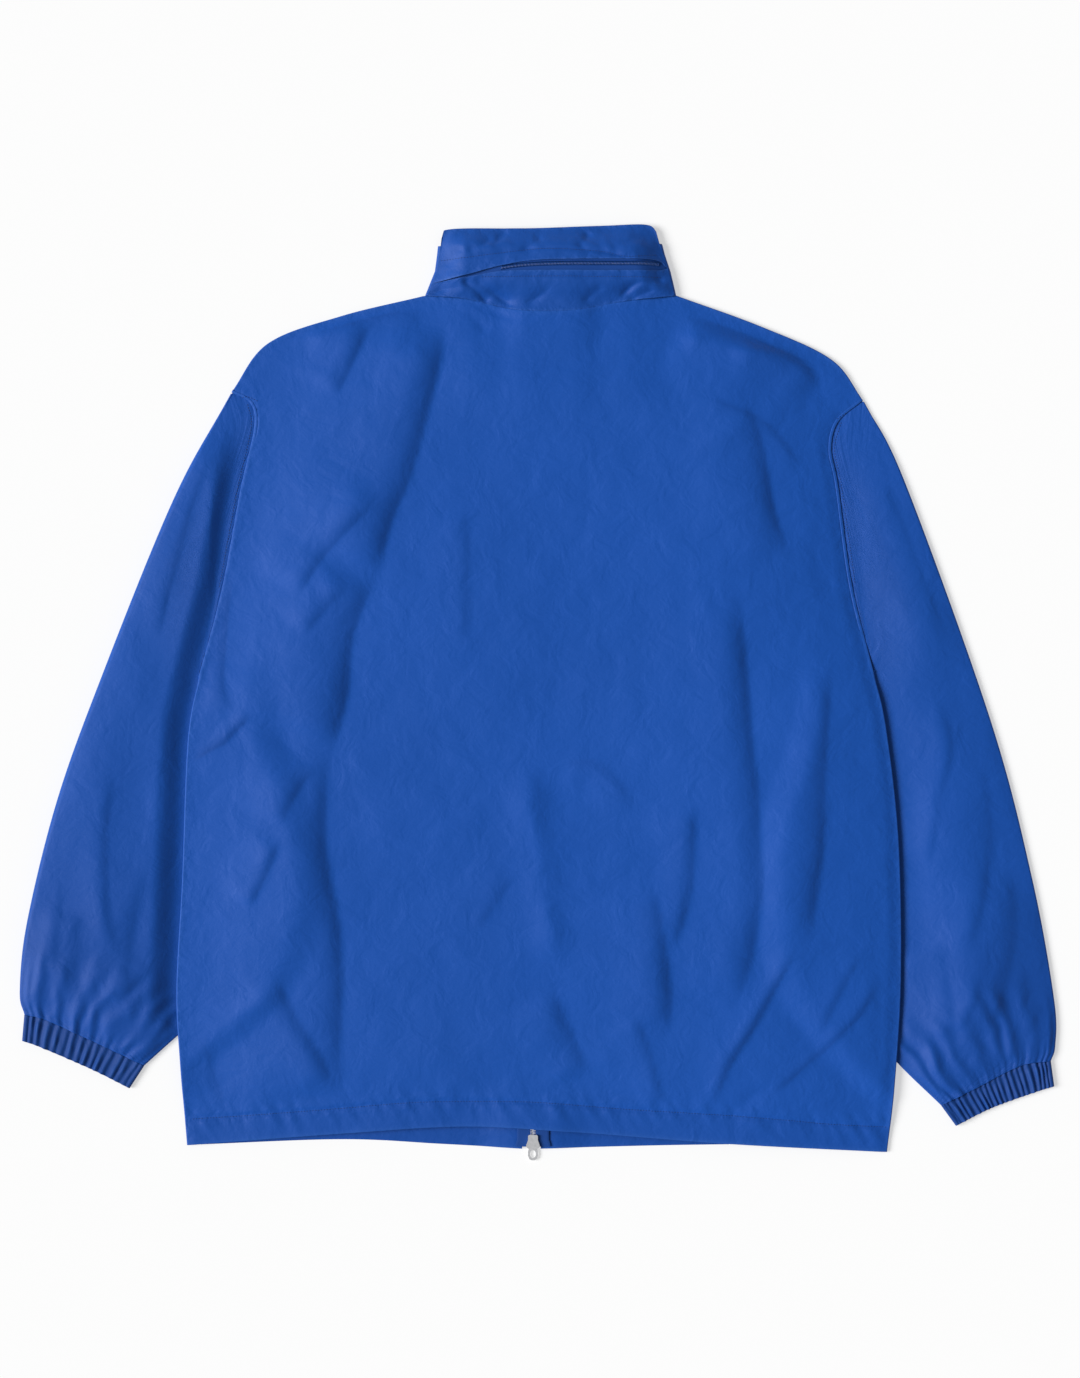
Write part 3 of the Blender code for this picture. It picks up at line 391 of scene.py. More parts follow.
def creases(x, y, folds):
    """Ridges and, where the height is negative, grooves along lines."""
    total = np.zeros(np.shape(x))
    for number, (height, left, right), away, side, share in beside(x, y, folds):
        width = np.where(side > 0, right, left)
        ends = ease(0.0, 0.2, share) * (1 - ease(0.8, 1.0, share))
        ridge = 0.5 * np.exp(-(away / width) ** 2) + 0.5 * np.exp(-away / width)
        total += height * ends * ridge * uneven_run(number, share)
    return total


SIDE_POINTS = 40
edge_left = joined(curve(SIDE_LEFT, SIDE_POINTS), curve(ARM_LEFT, 30))
edge_right = joined(curve(SIDE_RIGHT, SIDE_POINTS), curve(ARM_RIGHT, 30))
edge_top = joined(curve(SHOULDER_LEFT, 16), curve(NECK_BACK, 16), curve(SHOULDER_RIGHT, 16))


def off_body(x, y, left):
    """Distance in plan from the body's side and armhole, negative under the body."""
    line = edge_left if left else edge_right
    near = from_line(x, y, line)[0]
    side = line[:SIDE_POINTS]
    edge = np.abs(np.interp(y, side[:, 1], side[:, 0]))
    return np.where((y < side[-1, 1]) & (np.abs(x) < edge), -near, near)


def body_reach(x, y):
    """Distance in plan from the nearest side, armhole, shoulder or neck, inside the body."""
    sides = np.minimum(from_line(x, y, edge_left)[0], from_line(x, y, edge_right)[0])
    below = np.interp(x, edge_top[:, 0], edge_top[:, 1]) - y
    return np.minimum(sides, np.maximum(below, 0.0))


def zip_x(y):
    """Centre line of the main zip."""
    return ZIP_X[0] + (ZIP_X[1] - ZIP_X[0]) * ease(-300, 280, y)


def front_z(x, y):
    """Middle of the fronts: raised by the sleeves under their sides and by the sliders."""
    tucked = 0.0
    for left, inner, leave in ((True, SLEEVE_INNER_LEFT, -302), (False, SLEEVE_INNER_RIGHT, -325)):
        line = np.array(inner[:2:-1], float)
        reach = np.abs(np.interp(y, line[:, 1], line[:, 0]))
        side = np.where(np.asarray(x) < 0, left, not left)
        over = ease(reach - 64, reach - 30, np.abs(x))
        tucked = tucked + side * over * ease(42, -8, y) * (1 - ease(leave - 34, leave - 72, y))
    near_zip = 1 - ease(17, 51, np.abs(x - zip_x(y)))
    ends = 1 - ease(-382.5, -336.5, y) + ease(290, 336, y) * (1 - ease(376, 400, y))
    return LOWEST + SLEEVE_LIFT * tucked + SLIDER_LIFT * near_zip * ends


def zip_near(x, y):
    """1 over the main zip's tape, 0 away from it."""
    return 1 - ease(22, 48, np.abs(x - zip_x(y)))


def hem_above(x, y, line):
    """Distance above a line that runs across the hem."""
    given = curve(line, 60)
    return y - np.interp(x, given[:, 0], given[:, 1])


def back_z(x, y, bare=False):
    """Middle of the back, with its air, creases and hem, or without them."""
    neck = (1 - ease(60, 118, np.abs(x - 11))) * ease(235, 268, y) * (2.4 + 1.2 * zip_near(x, y))
    if bare:
        return front_z(x, y) + BACK_LIFT + neck
    reach = body_reach(x, y)
    above_hem = hem_above(x, y, HEM_BACK)
    right = from_line(x, y, edge_right)[0]
    left = from_line(x, y, edge_left)[0]
    air = (1.8 * ease(0, 14, reach) * ease(0, 80, left) + 1.6 * ease(0, 40, right) * ease(0, 80, left)
           + 4.4 * ease(0, 115, right) * ease(-40, 240, left))
    air = air * ease(-30, 90, np.interp(x, edge_top[:, 0], edge_top[:, 1]) - y)
    air = air + 0.9 * ease(10, 60, reach) * ripple(x, y, 95, 1)
    air = air * (0.45 + 0.55 * ease(0, 70, above_hem))
    folds = banks(x, y, BACK_BANKS) + creases(x, y, BACK_RIDGES)
    folds = folds * ease(0, 14, reach) * ease(-8, 45, left) * (0.25 + 0.75 * ease(12, 40, above_hem))
    small = 0.34 * ripple(x, y, 34, 2) * ease(3, 30, reach) + 0.12 * ripple(x, y, 15, 5)
    stitch = hem_above(x, y, HEM_STITCH)
    commas = ripple(x + 0.5 * stitch, y * 0.2, 8.0, 9)
    hem = (0.75 * np.exp(-np.abs(stitch + 5) / 8.0) * commas
           + 0.35 * np.exp(-np.abs(stitch - 6) / 7.0) * commas)
    hem = hem - 0.9 * np.exp(-(stitch / 2.2) ** 2) + 0.5 * (1 - ease(-4, 0.5, stitch))
    seam = 0.28 * np.exp(-reach / 7.0) * ripple(x, y, 6.5, 8)
    lift = np.maximum(air + folds + small, 0.2 * ease(0, 10, reach))
    lift = lift + hem * ease(0, 6, reach) + seam * ease(0, 3, reach)
    return front_z(x, y) + BACK_LIFT + neck + np.maximum(lift, 0.0)


def patch(bottom, top, left, right, s, t):
    """Grid of points filling four boundary lines; rows run from bottom to top."""
    s, t = s[None, :, None], t[:, None, None]
    across = (1 - t) * bottom[None] + t * top[None]
    upward = (1 - s) * left[:, None] + s * right[:, None]
    corners = ((1 - t) * ((1 - s) * bottom[0] + s * bottom[-1])
               + t * ((1 - s) * top[0] + s * top[-1]))
    return across + upward - corners


def outward(line, inside):
    """Unit vectors across a line, pointing away from a point inside the piece."""
    run = np.gradient(line, axis=0)
    normal = np.column_stack([run[:, 1], -run[:, 0]])
    normal /= np.linalg.norm(normal, axis=1)[:, None]
    side = np.sum((line - np.array(inside)) * normal, axis=1)
    return normal * np.sign(np.median(side))


def panel(bottom, top, left, right, s, t, height, turn, folded):
    """Points and cut of a body panel whose edges roll over (folded 1) or dip to a seam (0).

    folded holds the weights along the left, right and top edges; None leaves an edge plain.
    """
    roll, dip, drawn_in, steps = 0.9, 0.5, 2.85, 5
    edges = {"left": left, "right": right, "top": top}
    inside = (np.mean([bottom[0][0], bottom[-1][0]]), 0.0)
    normals = {"left": outward(left, inside), "right": outward(right, inside),
               "top": outward(top, (inside[0], -900.0))}
    flat = {}
    for key, line in edges.items():
        weight = folded[key]
        inset = 0 * line[:, :1] if weight is None else (weight * (roll + 0.5) + (1 - weight) * 3.0)[:, None]
        flat[key] = line - normals[key] * inset
    for key, corner in (("left", 0), ("right", -1)):
        both = flat["top"][corner] + flat[key][-1] - edges[key][-1]
        flat["top"][corner] = flat[key][-1] = both
    base = bottom.copy()
    base[0], base[-1] = flat["left"][0], flat["right"][0]
    grid = patch(base, flat["top"], flat["left"], flat["right"], s, t)
    points = np.dstack([grid, height(grid[..., 0], grid[..., 1])])
    cut = grid.copy()

    def rims(key):
        weight, n = folded[key][:, None], normals[key]
        for q in np.linspace(0.0, 1.0, steps + 1)[1:]:
            reach = weight * roll * np.sin(q * np.pi / 2) + (1 - weight) * drawn_in * q
            drop = weight * roll * (1 - np.cos(q * np.pi / 2)) + (1 - weight) * dip * q * q
            run = weight * roll * q * np.pi / 2 + (1 - weight) * drawn_in * q
            yield np.column_stack([n * reach, -turn * drop]), n * run

    if folded["top"] is not None:
        rows, cuts = [points], [cut]
        for shift, run in rims("top"):
            rows.append((points[-1] + shift)[None])
            cuts.append((cut[-1] + run)[None])
        points, cut = np.concatenate(rows), np.concatenate(cuts)
    for key, column, order in (("left", 0, -1), ("right", -1, 1)):
        if folded[key] is None:
            continue
        strips, cuts = [], []
        for shift, run in rims(key):
            more = points.shape[0] - len(shift)
            shift, run = (np.vstack([a] + [a[-1:]] * more) for a in (shift, run))
            strips.append((points[:, column] + shift)[:, None])
            cuts.append((cut[:, column] + run)[:, None])
        strips, cuts = (a[::order] for a in (strips, cuts))
        pair = (strips + [points], cuts + [cut]) if order < 0 else ([points] + strips, [cut] + cuts)
        points, cut = (np.concatenate(a, axis=1) for a in pair)
    return points, cut


WALL = 0.55


def cloth(name, points, cut, look, wear, seam, closed=False, layers_and_painted_shade=0.0):
    """A thin shell whose middle runs through a grid of points."""
    rows, columns = points.shape[:2]
    bm = bmesh.new()
    bmesh.ops.create_grid(bm, x_segments=columns - 1, y_segments=rows - 1, size=0.5)
    mesh = bpy.data.meshes.new(name)
    bm.to_mesh(mesh)
    bm.free()
    flat = np.empty(len(mesh.vertices) * 3, np.float32)
    mesh.vertices.foreach_get("co", flat)
    flat = flat.reshape(-1, 3)
    i = np.rint((flat[:, 0] + 0.5) * (columns - 1)).astype(int)
    j = np.rint((flat[:, 1] + 0.5) * (rows - 1)).astype(int)
    mesh.vertices.foreach_set("co", (points[j, i] * MM).astype(np.float32).ravel())
    corner = np.empty(len(mesh.loops), np.int32)
    mesh.loops.foreach_get("vertex_index", corner)
    layer = mesh.uv_layers.new(name="cut")
    layer.data.foreach_set("uv", (cut[j, i][corner] * MM).astype(np.float32).ravel())
    for key, values in (("wear", wear), ("seam", seam), ("layers_and_painted_shade", layers_and_painted_shade + 0.0 * wear)):
        mask = mesh.attributes.new(key, "FLOAT", "POINT")
        mask.data.foreach_set("value", np.clip(values[j, i], 0, 1).astype(np.float32))
    if closed:
        bm = bmesh.new()
        bm.from_mesh(mesh)
        bmesh.ops.remove_doubles(bm, verts=bm.verts, dist=0.00001)
        bm.to_mesh(mesh)
        bm.free()
    mesh.shade_smooth()
    mesh.materials.append(look)
    piece = bpy.data.objects.new(name, mesh)
    scene.collection.objects.link(piece)
    shell = piece.modifiers.new("wall", "SOLIDIFY")
    shell.thickness = WALL * MM
    shell.offset = 0.0
    even = piece.modifiers.new("even", "WEIGHTED_NORMAL")
    even.weight = 60
    return piece


def spread(count, ends):
    """Shares from 0 to 1 that lie closer together towards both ends."""
    even = np.linspace(0.0, 1.0, count)
    return (1 - ends) * even + ends * (1 - np.cos(np.pi * even)) / 2


HEM_SHARE = 0.047
body_t = np.concatenate([np.linspace(0.0, HEM_SHARE, 24), HEM_SHARE + 0.953 * np.linspace(0.0, 1.0, 196)[1:]])
body_s = spread(190, 0.3)
side_left = along(joined(curve(SIDE_LEFT, 200), curve(ARM_LEFT, 130)), body_t)
side_right = along(joined(curve(SIDE_RIGHT, 200), curve(ARM_RIGHT, 130)), body_t)
back_top = along(joined(curve(SHOULDER_LEFT, 90), curve(NECK_BACK, 110), curve(SHOULDER_RIGHT, 90)), body_s)
side_roll = {"left": 1 - ease(2, 18, side_left[:, 1]), "right": 1 - ease(5, 21, side_right[:, 1])}
in_neck = ease(-104, -97, back_top[:, 0]) * (1 - ease(119, 126, back_top[:, 0]))
points, cut = panel(curve(HEM_BACK, body_s), back_top, side_left, side_right, body_s, body_t, back_z, 1,
                    {**side_roll, "top": 1 - in_neck})
x, y = points[..., 0], points[..., 1]
reach, hem_edge, hem_seam = body_reach(x, y), hem_above(x, y, HEM_BACK), hem_above(x, y, HEM_STITCH)
# The back's colour is deeper over its turned-up hem casing, where two layers lie, and at the foot of each
# fold bank, where shade is painted on.
back = cloth("back_panel", points, cut, shell_cloth,
             np.maximum(0.8 * np.exp(-reach / 1.6), 0.9 * np.exp(-np.maximum(hem_edge, 0) / 1.6)),
             np.maximum(np.exp(-reach / 8), np.exp(-np.abs(hem_seam) / 6)),
             layers_and_painted_shade=np.maximum(0.35 - 0.35 * ease(-1.5, 1.5, hem_seam), 0.85 * fold_foot_painted_shade(x, y, BACK_BANKS)))
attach(back, "jacket")
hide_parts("back")

# ---------------------------------------------------------------- fronts
# Two panels that lie face down on the table, joined to the back at sides and shoulders,
# with hems turned up like the back's and a straight edge each along the main zip.
NECK_FRONT_LEFT = [(-100, 349), (-76, 320), (-36, 298), (5, 292)]
NECK_FRONT_RIGHT = [(14, 292), (55, 299), (98, 322), (122, 349)]
HEM_LEFT = [(-309, -398), (-174, -393), (-86, -397), (-14, -401)]
HEM_RIGHT = [(2, -401), (125, -398), (213, -398), (307, -404)]
HEM_LEVEL = 400
ZIP_EDGE_START, ZIP_EDGE_LENGTH = -401, 693


def front_cloth_z(x, y):
    """Middle of a front: creases only rise, because the table is under it."""
    reach = body_reach(x, y)
    above = y + HEM_LEVEL
    rise = np.maximum(0.9 * ripple(x, y, 60, 21) + 0.5 * ripple(x, y, 24, 22) - 0.2, 0.0)
    stitch = 0.25 * np.exp(-np.abs(above - HEM_CASING) / 8) * np.maximum(ripple(x, y * 0.3, 8, 23), 0)
    raised = np.minimum(rise, 0.9) * ease(12, 60, reach) * ease(4, 30, above)
    return front_z(x, y) + raised + stitch * ease(4, 12, reach)


for side in ("left", "right"):
    sign = -1 if side == "left" else 1
    s = spread(84, 0.3)
    edge = side_left if side == "left" else side_right
    y = ZIP_EDGE_START + ZIP_EDGE_LENGTH * body_t
    beside_zip, beside_slider = 4.2, 9.5 if side == "left" else 6.9
    wider = (beside_slider - beside_zip) * (1 - ease(-388.5, -368.5, y))
    centre = np.column_stack([zip_x(y) + sign * (beside_zip + wider), y])
    if side == "left":
        top = along(joined(curve(SHOULDER_LEFT, 90), curve(NECK_FRONT_LEFT, 90)), s)
        hem = curve(HEM_LEFT, s)
        centre[0], centre[-1] = hem[-1], top[-1]
        edges, rolls = (edge, centre), {"left": side_roll["left"], "right": None}
        rolls["top"] = 1 - ease(-104, -97, top[:, 0])
    else:
        top = along(joined(curve(NECK_FRONT_RIGHT, 90), curve(SHOULDER_RIGHT, 90)), s)
        hem = curve(HEM_RIGHT, s)
        centre[0], centre[-1] = hem[0], top[0]
        edges, rolls = (centre, edge), {"left": None, "right": side_roll["right"]}
        rolls["top"] = ease(119, 126, top[:, 0])
    points, cut = panel(hem, top, *edges, s, body_t, front_cloth_z, -1, rolls)
    x, y = points[..., 0], points[..., 1]
    reach, low = body_reach(x, y), np.maximum(y + HEM_LEVEL, 0)
    # Painted shadow: a dark line along each front's visible hem strip just under the back's hem edge; the
    # rest of each front is deeper for its two-layer casing and for painted shade under the back.
    painted_shadow_under_back_hem = np.exp(-((hem_above(x, y, HEM_BACK) + 1.5) / 2.0) ** 2)
    piece = cloth(f"front_panel_{side}", points, cut, shell_cloth,
                  np.maximum(0.8 * np.exp(-reach / 1.6), 0.9 * np.exp(-low / 1.6)),
                  np.maximum(np.exp(-reach / 8), np.exp(-np.abs(low - HEM_CASING) / 6)),
                  layers_and_painted_shade=0.55 + 0.45 * painted_shadow_under_back_hem)
    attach(piece, "jacket")
    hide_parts(f"front_{side}")

# ---------------------------------------------------------------- sleeves
# One-piece sleeves sewn to tubes, set into the armholes and lying half under the body;
# soft folds run down them, and the elastic cuffs gather their ends into short pleats.
OUTER_LEFT = [(-270, 264), (-321, 169), (-385, 11), (-423, -95), (-449, -200), (-456, -262), (-452, -283)]
OUTER_RIGHT = [(286, 257), (322, 187), (398, -24), (435, -165), (454, -270), (455, -310), (451, -324)]
WRIST_LEFT = [(-346, -328), (-388, -308), (-432, -288), (-452, -283)]
WRIST_RIGHT = [(354, -363), (386, -347), (424, -328), (451, -324)]
BANKS_LEFT = [
    (0.30, 9, [(-283, 225), (-302, 165), (-320, 100), (-334, 40)]),
    (0.22, 9, [(-318, 180), (-338, 120), (-358, 60)]),
    (0.26, 18, [(-338, -150), (-352, -200), (-358, -250), (-352, -285)]),
    (0.26, 16, [(-398, -190), (-404, -230), (-400, -275)]),
    (0.40, 8, [(-372, -70), (-378, -130), (-376, -190), (-366, -235)]),
    (0.38, 7, [(-415, -165), (-421, -215), (-422, -272)]),
    (0.45, 6, [(-415, -230), (-410, -265), (-403, -302)]),
    (0.40, 5, [(-437, -255), (-435, -272), (-434, -287)]),
    (0.50, 7, [(-339, -240), (-353, -257), (-372, -276)]),
    (0.50, 6, [(-371, -316), (-352, -302), (-339, -292), (-318, -287)]),
    (0.45, 5, [(-386, -245), (-388, -272), (-386, -306)]),
]
BANKS_RIGHT = [
    (0.30, 9, [(300, 205), (330, 125), (362, 45)]),
    (0.34, 9, [(393, -60), (398, -130), (390, -190), (374, -240)]),
    (0.42, 7, [(390, -250), (381, -280), (370, -300)]),
    (0.28, 18, [(418, -150), (420, -210), (408, -270), (392, -310)]),
    (0.28, 16, [(352, -215), (362, -265), (366, -310)]),
    (0.50, 6, [(446, -275), (432, -298), (424, -325)]),
    (0.45, 5, [(404, -285), (407, -310), (408, -332)]),
    (0.45, 7, [(326, -340), (346, -346), (369, -345)]),
    (0.40, 6, [(345, -310), (356, -328), (369, -344)]),
    (0.30, 8, [(348, 0), (364, -45), (352, -105), (344, -160)]),
]


def shifted(line, distance, at_ends=0.0):
    """A line moved away from the body by a distance, and more at its ends."""
    share = np.linspace(0.0, 1.0, len(line))
    more = at_ends * (share ** 8 + (1 - share) ** 8)
    return line + outward(line, (0, 100)) * (distance + more)[:, None]


SLEEVE_LENGTH = 600.0


def tube(start, end, inner, outer, rows, share, top_height, low_height, arc=9, lap=0.0):
    """A flattened tube: a low layer, a round fold, the top layer and a round fold.

    lap is how far the top layer's first row reaches under the piece it is sewn to.
    """
    points, cuts = [], []
    under = -outward(start, (0, 100)) * lap
    for at, first_end, last_end in zip(rows, inner, outer):
        line = (first_end + np.outer(share, last_end - first_end)
                + (1 - at) ** 6 * (start - start[0] - np.outer(share, start[-1] - start[0]))
                + at ** 6 * (end - end[0] - np.outer(share, end[-1] - end[0])))
        first = (line[1] - line[0]) / np.linalg.norm(line[1] - line[0])
        last = (line[-1] - line[-2]) / np.linalg.norm(line[-1] - line[-2])
        heights = top_height(line[:, 0], line[:, 1], share, at)
        lows = low_height(line[:, 0], line[:, 1], share, at)
        ends = (heights[[0, -1]] - lows[[0, -1]]) / 2
        flat = line.copy()
        for index, way in ((0, first), (-1, -last)):
            inset = ends[index] + 0.5
            near = np.clip(1 - np.linalg.norm(line - line[index], axis=1) / (4 * inset), 0.0, 1.0)
            flat += np.outer(near, way * inset)
        sewn_row = at == rows[0]
        turn = np.pi * np.arange(1, arc + 1) / (arc + 1)
        ring = [np.column_stack([flat, lows]),
                np.column_stack([flat[-1] + np.outer(np.sin(turn), last * ends[1]),
                                 lows[-1] + ends[1] * (1 - np.cos(turn))]),
                np.column_stack([flat + under * sewn_row, heights - 0.35 * lap * sewn_row])[::-1],
                np.column_stack([flat[0] - np.outer(np.sin(turn), first * ends[0]),
                                 lows[0] + ends[0] * (1 + np.cos(turn))])]
        ring = np.vstack(ring)
        ring = np.vstack([ring, ring[:1]])
        run = lengths(ring[:, :2])
        points.append(ring)
        cuts.append(np.column_stack([run, np.full(len(run), at * SLEEVE_LENGTH)]))
    return np.array(points), np.array(cuts)


sleeve_rows = np.concatenate([np.linspace(0, 0.05, 12)[:-1], np.linspace(0.05, 0.84, 92)[:-1],
                              np.linspace(0.84, 1.0, 34)])
sleeve_share = np.concatenate([np.linspace(0.0, 0.12, 9)[:-1], np.linspace(0.12, 0.9, 46)[:-1],
                               np.linspace(0.9, 1.0, 9)])
# The wrist's top layer above the table, and its pleats: where, how wide and how high
WRIST_TOP = 4.1
PLEATS = {"left": [(0.10, 0.035, 2.2), (0.22, 0.030, 1.6), (0.33, 0.040, 2.6), (0.47, 0.035, 2.0),
                   (0.60, 0.045, 2.8), (0.74, 0.035, 2.0), (0.87, 0.040, 1.8)],
          "right": [(0.08, 0.030, 1.8), (0.19, 0.040, 2.6), (0.33, 0.030, 1.8), (0.44, 0.040, 2.4),
                    (0.58, 0.035, 2.0), (0.69, 0.040, 2.8), (0.83, 0.035, 2.2)]}
for side, arm, inner, outer, wrist, sleeve_banks in (
        ("left", ARM_LEFT, SLEEVE_INNER_LEFT, OUTER_LEFT, WRIST_LEFT, BANKS_LEFT),
        ("right", ARM_RIGHT, SLEEVE_INNER_RIGHT, OUTER_RIGHT, WRIST_RIGHT, BANKS_RIGHT)):
    left = side == "left"
    inward = 3.0 if left else -3.0
    ribs = 15 if left else 20

    def sleeve_top(x, y, share, at):
        off = off_body(x, y, left)
        clear = ease(-2, 10, off)
        wall = ease(1, 25, off) if left else 0.9 * ease(0, 66, off)
        slope = 0.12 * ease(0.60, 1.0, share) if left else 0.85 * ease(0.52, 1.0, share)
        down = 1 - slope - 0.15 * share ** 16
        loft = 8.2 * wall * down * ease(0.0, 0.2, share)
        loft = loft + 1.5 * ease(8, 40, off) * ripple(x, y, 60, 31) * (1 - share ** 8)
        folds = banks(x, y, sleeve_banks) * clear * (1 - share ** 8) * ease(0.0, 0.06, at)
        sway = 0.035 * ripple(x, y, 38, 33) + 0.015 * ripple(x, y, 16, 37)
        gather = sum(high * np.exp(-((share + sway - middle) / width) ** 2)
                     for middle, width, high in PLEATS[side]) * (0.7 + 0.6 * ripple(x, y, 30, 38))
        fine = 0.5 + 0.5 * np.cos(2 * np.pi * ribs * (share + 0.012 * ripple(share * 40, 0 * share, 5, 34)))
        own = 2.2 + 1.4 * ease(0.6, 1.0, share) + np.maximum(loft + folds, 0.0)
        mixed = own + (back_z(x + inward, y, bare=True) - 0.5 - own) * (1 - ease(0.0, 0.05, at))
        wrist_z = (4.2 + 0.9 * gather + 1.0 * fine * ease(0.95, 1.0, at)
                   + 2.5 * ease(0.8, 0.9, at) * ease(1.0, 0.95, at))
        share_of_wrist = ease(0.86, 1.0, at)
        ends = ease(0, 0.05, share) * ease(1.0, 0.95, share)
        puff = 0.8 * gather * ends * ease(0.80, 0.88, at) * (1 - share_of_wrist)
        return mixed + (WRIST_TOP + (wrist_z - WRIST_TOP) * ends - mixed) * share_of_wrist + puff

    def sleeve_low(x, y, share, at):
        return LOWEST + (front_z(x, y) - LOWEST) * (1 - ease(0.0, 0.05, at))

    begin = shifted(curve(arm, sleeve_share), 0.15, 0.9)
    inner_line = curve(inner, sleeve_rows - 0.25 * sleeve_rows * (1 - sleeve_rows))
    outer_line = curve(outer, sleeve_rows + 0.55 * sleeve_rows ** 0.6 * (1 - sleeve_rows) ** 1.5)
    inner_line[0], outer_line[0] = begin[0], begin[-1]
    points, cut = tube(begin, curve(wrist, sleeve_share), inner_line, outer_line,
                       sleeve_rows, sleeve_share, sleeve_top, sleeve_low, lap=2.0)
    at = sleeve_rows[:, None] * np.ones(points.shape[1])[None]
    # Painted shade: both sleeves are darkened all over, the right more than the left, more again towards the
    # wrists, and at the foot of each fold bank.
    deep, towards_wrist_painted_shade = (0.2, 0.6) if left else (0.35, 0.5)
    piece = cloth(f"sleeve_cloth_{side}", points, cut, shell_cloth, 0.0 * at,
                  np.maximum(np.exp(-at * SLEEVE_LENGTH / 8), np.exp(-(1 - at) * SLEEVE_LENGTH / 10)),
                  closed=True, layers_and_painted_shade=np.maximum(0.85 * fold_foot_painted_shade(points[..., 0], points[..., 1], sleeve_banks),
                                                 deep + towards_wrist_painted_shade * ease(0.55, 0.9, at)))
    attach(piece, "jacket")
    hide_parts(f"sleeve_{side}")

# ---------------------------------------------------------------- cuffs
# Narrow casings of the same nylon with elastic sewn inside, which draws each into close
# ribs; their nylon is a darker copy of the shell's as painted shade, and painted shade darkens the furrows
# between the ribs further.
cuff_cloth = nylon("cuff_nylon", (0.0050, 0.0580, 0.2850), (0.020, 0.090, 0.340), rough=0.6, crinkles=0.3,
                   puckers=0.9)
CUFF_LEFT = [(-359, -348), (-393, -331), (-437, -312), (-454, -306)]
CUFF_RIGHT = [(367, -381), (399, -365), (435, -352), (454, -346)]
CUFF_WIDTH = 23
for side, wrist, cuff, ribs in (("left", WRIST_LEFT, CUFF_LEFT, 15),
                                ("right", WRIST_RIGHT, CUFF_RIGHT, 20)):
    share = np.linspace(0.0, 1.0, ribs * 9 + 1)
    begin = shifted(curve(wrist, share), 0.3)
    finish = curve(cuff, share)
    rows = np.linspace(0.0, 1.0, 17)

    def ribbed(x, y, share, at, low):
        """Height of one layer: ribs drawn up between the rows of sewing."""
        drift = (0.016 * ripple(share * 40, 0 * share, 5, 34)
                 + 0.008 * ripple(share * 60, 0 * share + at * 3, 5, 35))
        rib = 0.5 + 0.5 * np.cos(2 * np.pi * ribs * (share + drift))
        rib = rib * (0.75 + 0.6 * ripple(share * 110, at * 14 + 0 * share, 7, 36))
        held = 1 - 0.35 * np.exp(-((at - 0.93) / 0.04) ** 2) - 0.35 * np.exp(-((at - 0.07) / 0.04) ** 2)
        ends = ease(0, 0.04, share) * ease(1.0, 0.96, share)
        if low:
            return 0.5 + 0.9 * (1 - rib) * held * ends
        return WRIST_TOP + (2.0 * rib * held - 0.9) * ends

    points, cut = tube(begin, finish, begin[0] + np.outer(rows, finish[0] - begin[0]),
                       begin[-1] + np.outer(rows, finish[-1] - begin[-1]), rows, share,
                       lambda x, y, share, at: ribbed(x, y, share, at, False),
                       lambda x, y, share, at: ribbed(x, y, share, at, True), arc=7)
    cut[..., 1] *= CUFF_WIDTH / SLEEVE_LENGTH
    at = rows[:, None] * np.ones(points.shape[1])[None]
    # Painted shade in the furrows between the ribs; a paler rub on their crests.
    crest = np.clip((points[..., 2] - 4.0) / 1.8, 0, 1)
    piece = cloth(f"cuff_cloth_{side}", points, cut, cuff_cloth,
                  0.35 * crest + 0.3 * np.exp(-(1 - at) * CUFF_WIDTH / 1.2),
                  np.maximum(np.exp(-at * CUFF_WIDTH / 4), np.exp(-(1 - at) * CUFF_WIDTH / 4)),
                  closed=True, layers_and_painted_shade=1.0 - crest)
    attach(piece, "jacket")
    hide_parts(f"cuff_{side}")

# ---------------------------------------------------------------- collar
# A stand-up collar in two layers that stores the hood: outside, a lower band, the hood's
# zip and an upper band whose edge laps over the zip; inside, one band from neck to rim.
# The collar's nylon is a slightly darker copy of the shell's: painted shade.
collar_cloth = nylon("collar_nylon", (0.0040, 0.0680, 0.3500), (0.030, 0.110, 0.400), crinkles=1.2,
                     puckers=1.2)
COLLAR_Y = [349, 370, 385, 393, 400, 405, 409, 411]
COLLAR_LEFT = [-100, -91.5, -89.5, -88.7, -87, -83.5, -77, -70]
COLLAR_RIGHT = [122, 117, 112, 110, 107, 104, 99, 94]
RIM_BACK = [(-89, 392), (-86, 393), (-84, 401), (-76, 407), (-5, 407.5), (60, 410), (94, 411), (103, 406),
            (106, 396), (109, 394)]
RIM_FRONT = [(-89, 392), (-60, 381), (-20, 370), (9, 368), (40, 370), (80, 382), (109, 394)]
FLAP_BACK = [(-94, 359), (-63, 366), (-32, 374), (4, 379), (76, 380), (105, 379), (112, 373.5),
             (118, 371.5)]
STAND_BACK = [(-94, 359), (-63, 364), (-32, 369), (4, 370), (76, 370), (106, 370.5), (112, 372),
              (118, 371.7)]
BAND_FRONT = [(-94, 358), (-60, 343), (-20, 333), (9, 330), (40, 333), (80, 345), (118, 368)]
NECK_FRONT = NECK_FRONT_LEFT[:-1] + [(9, 292)] + NECK_FRONT_RIGHT[1:]
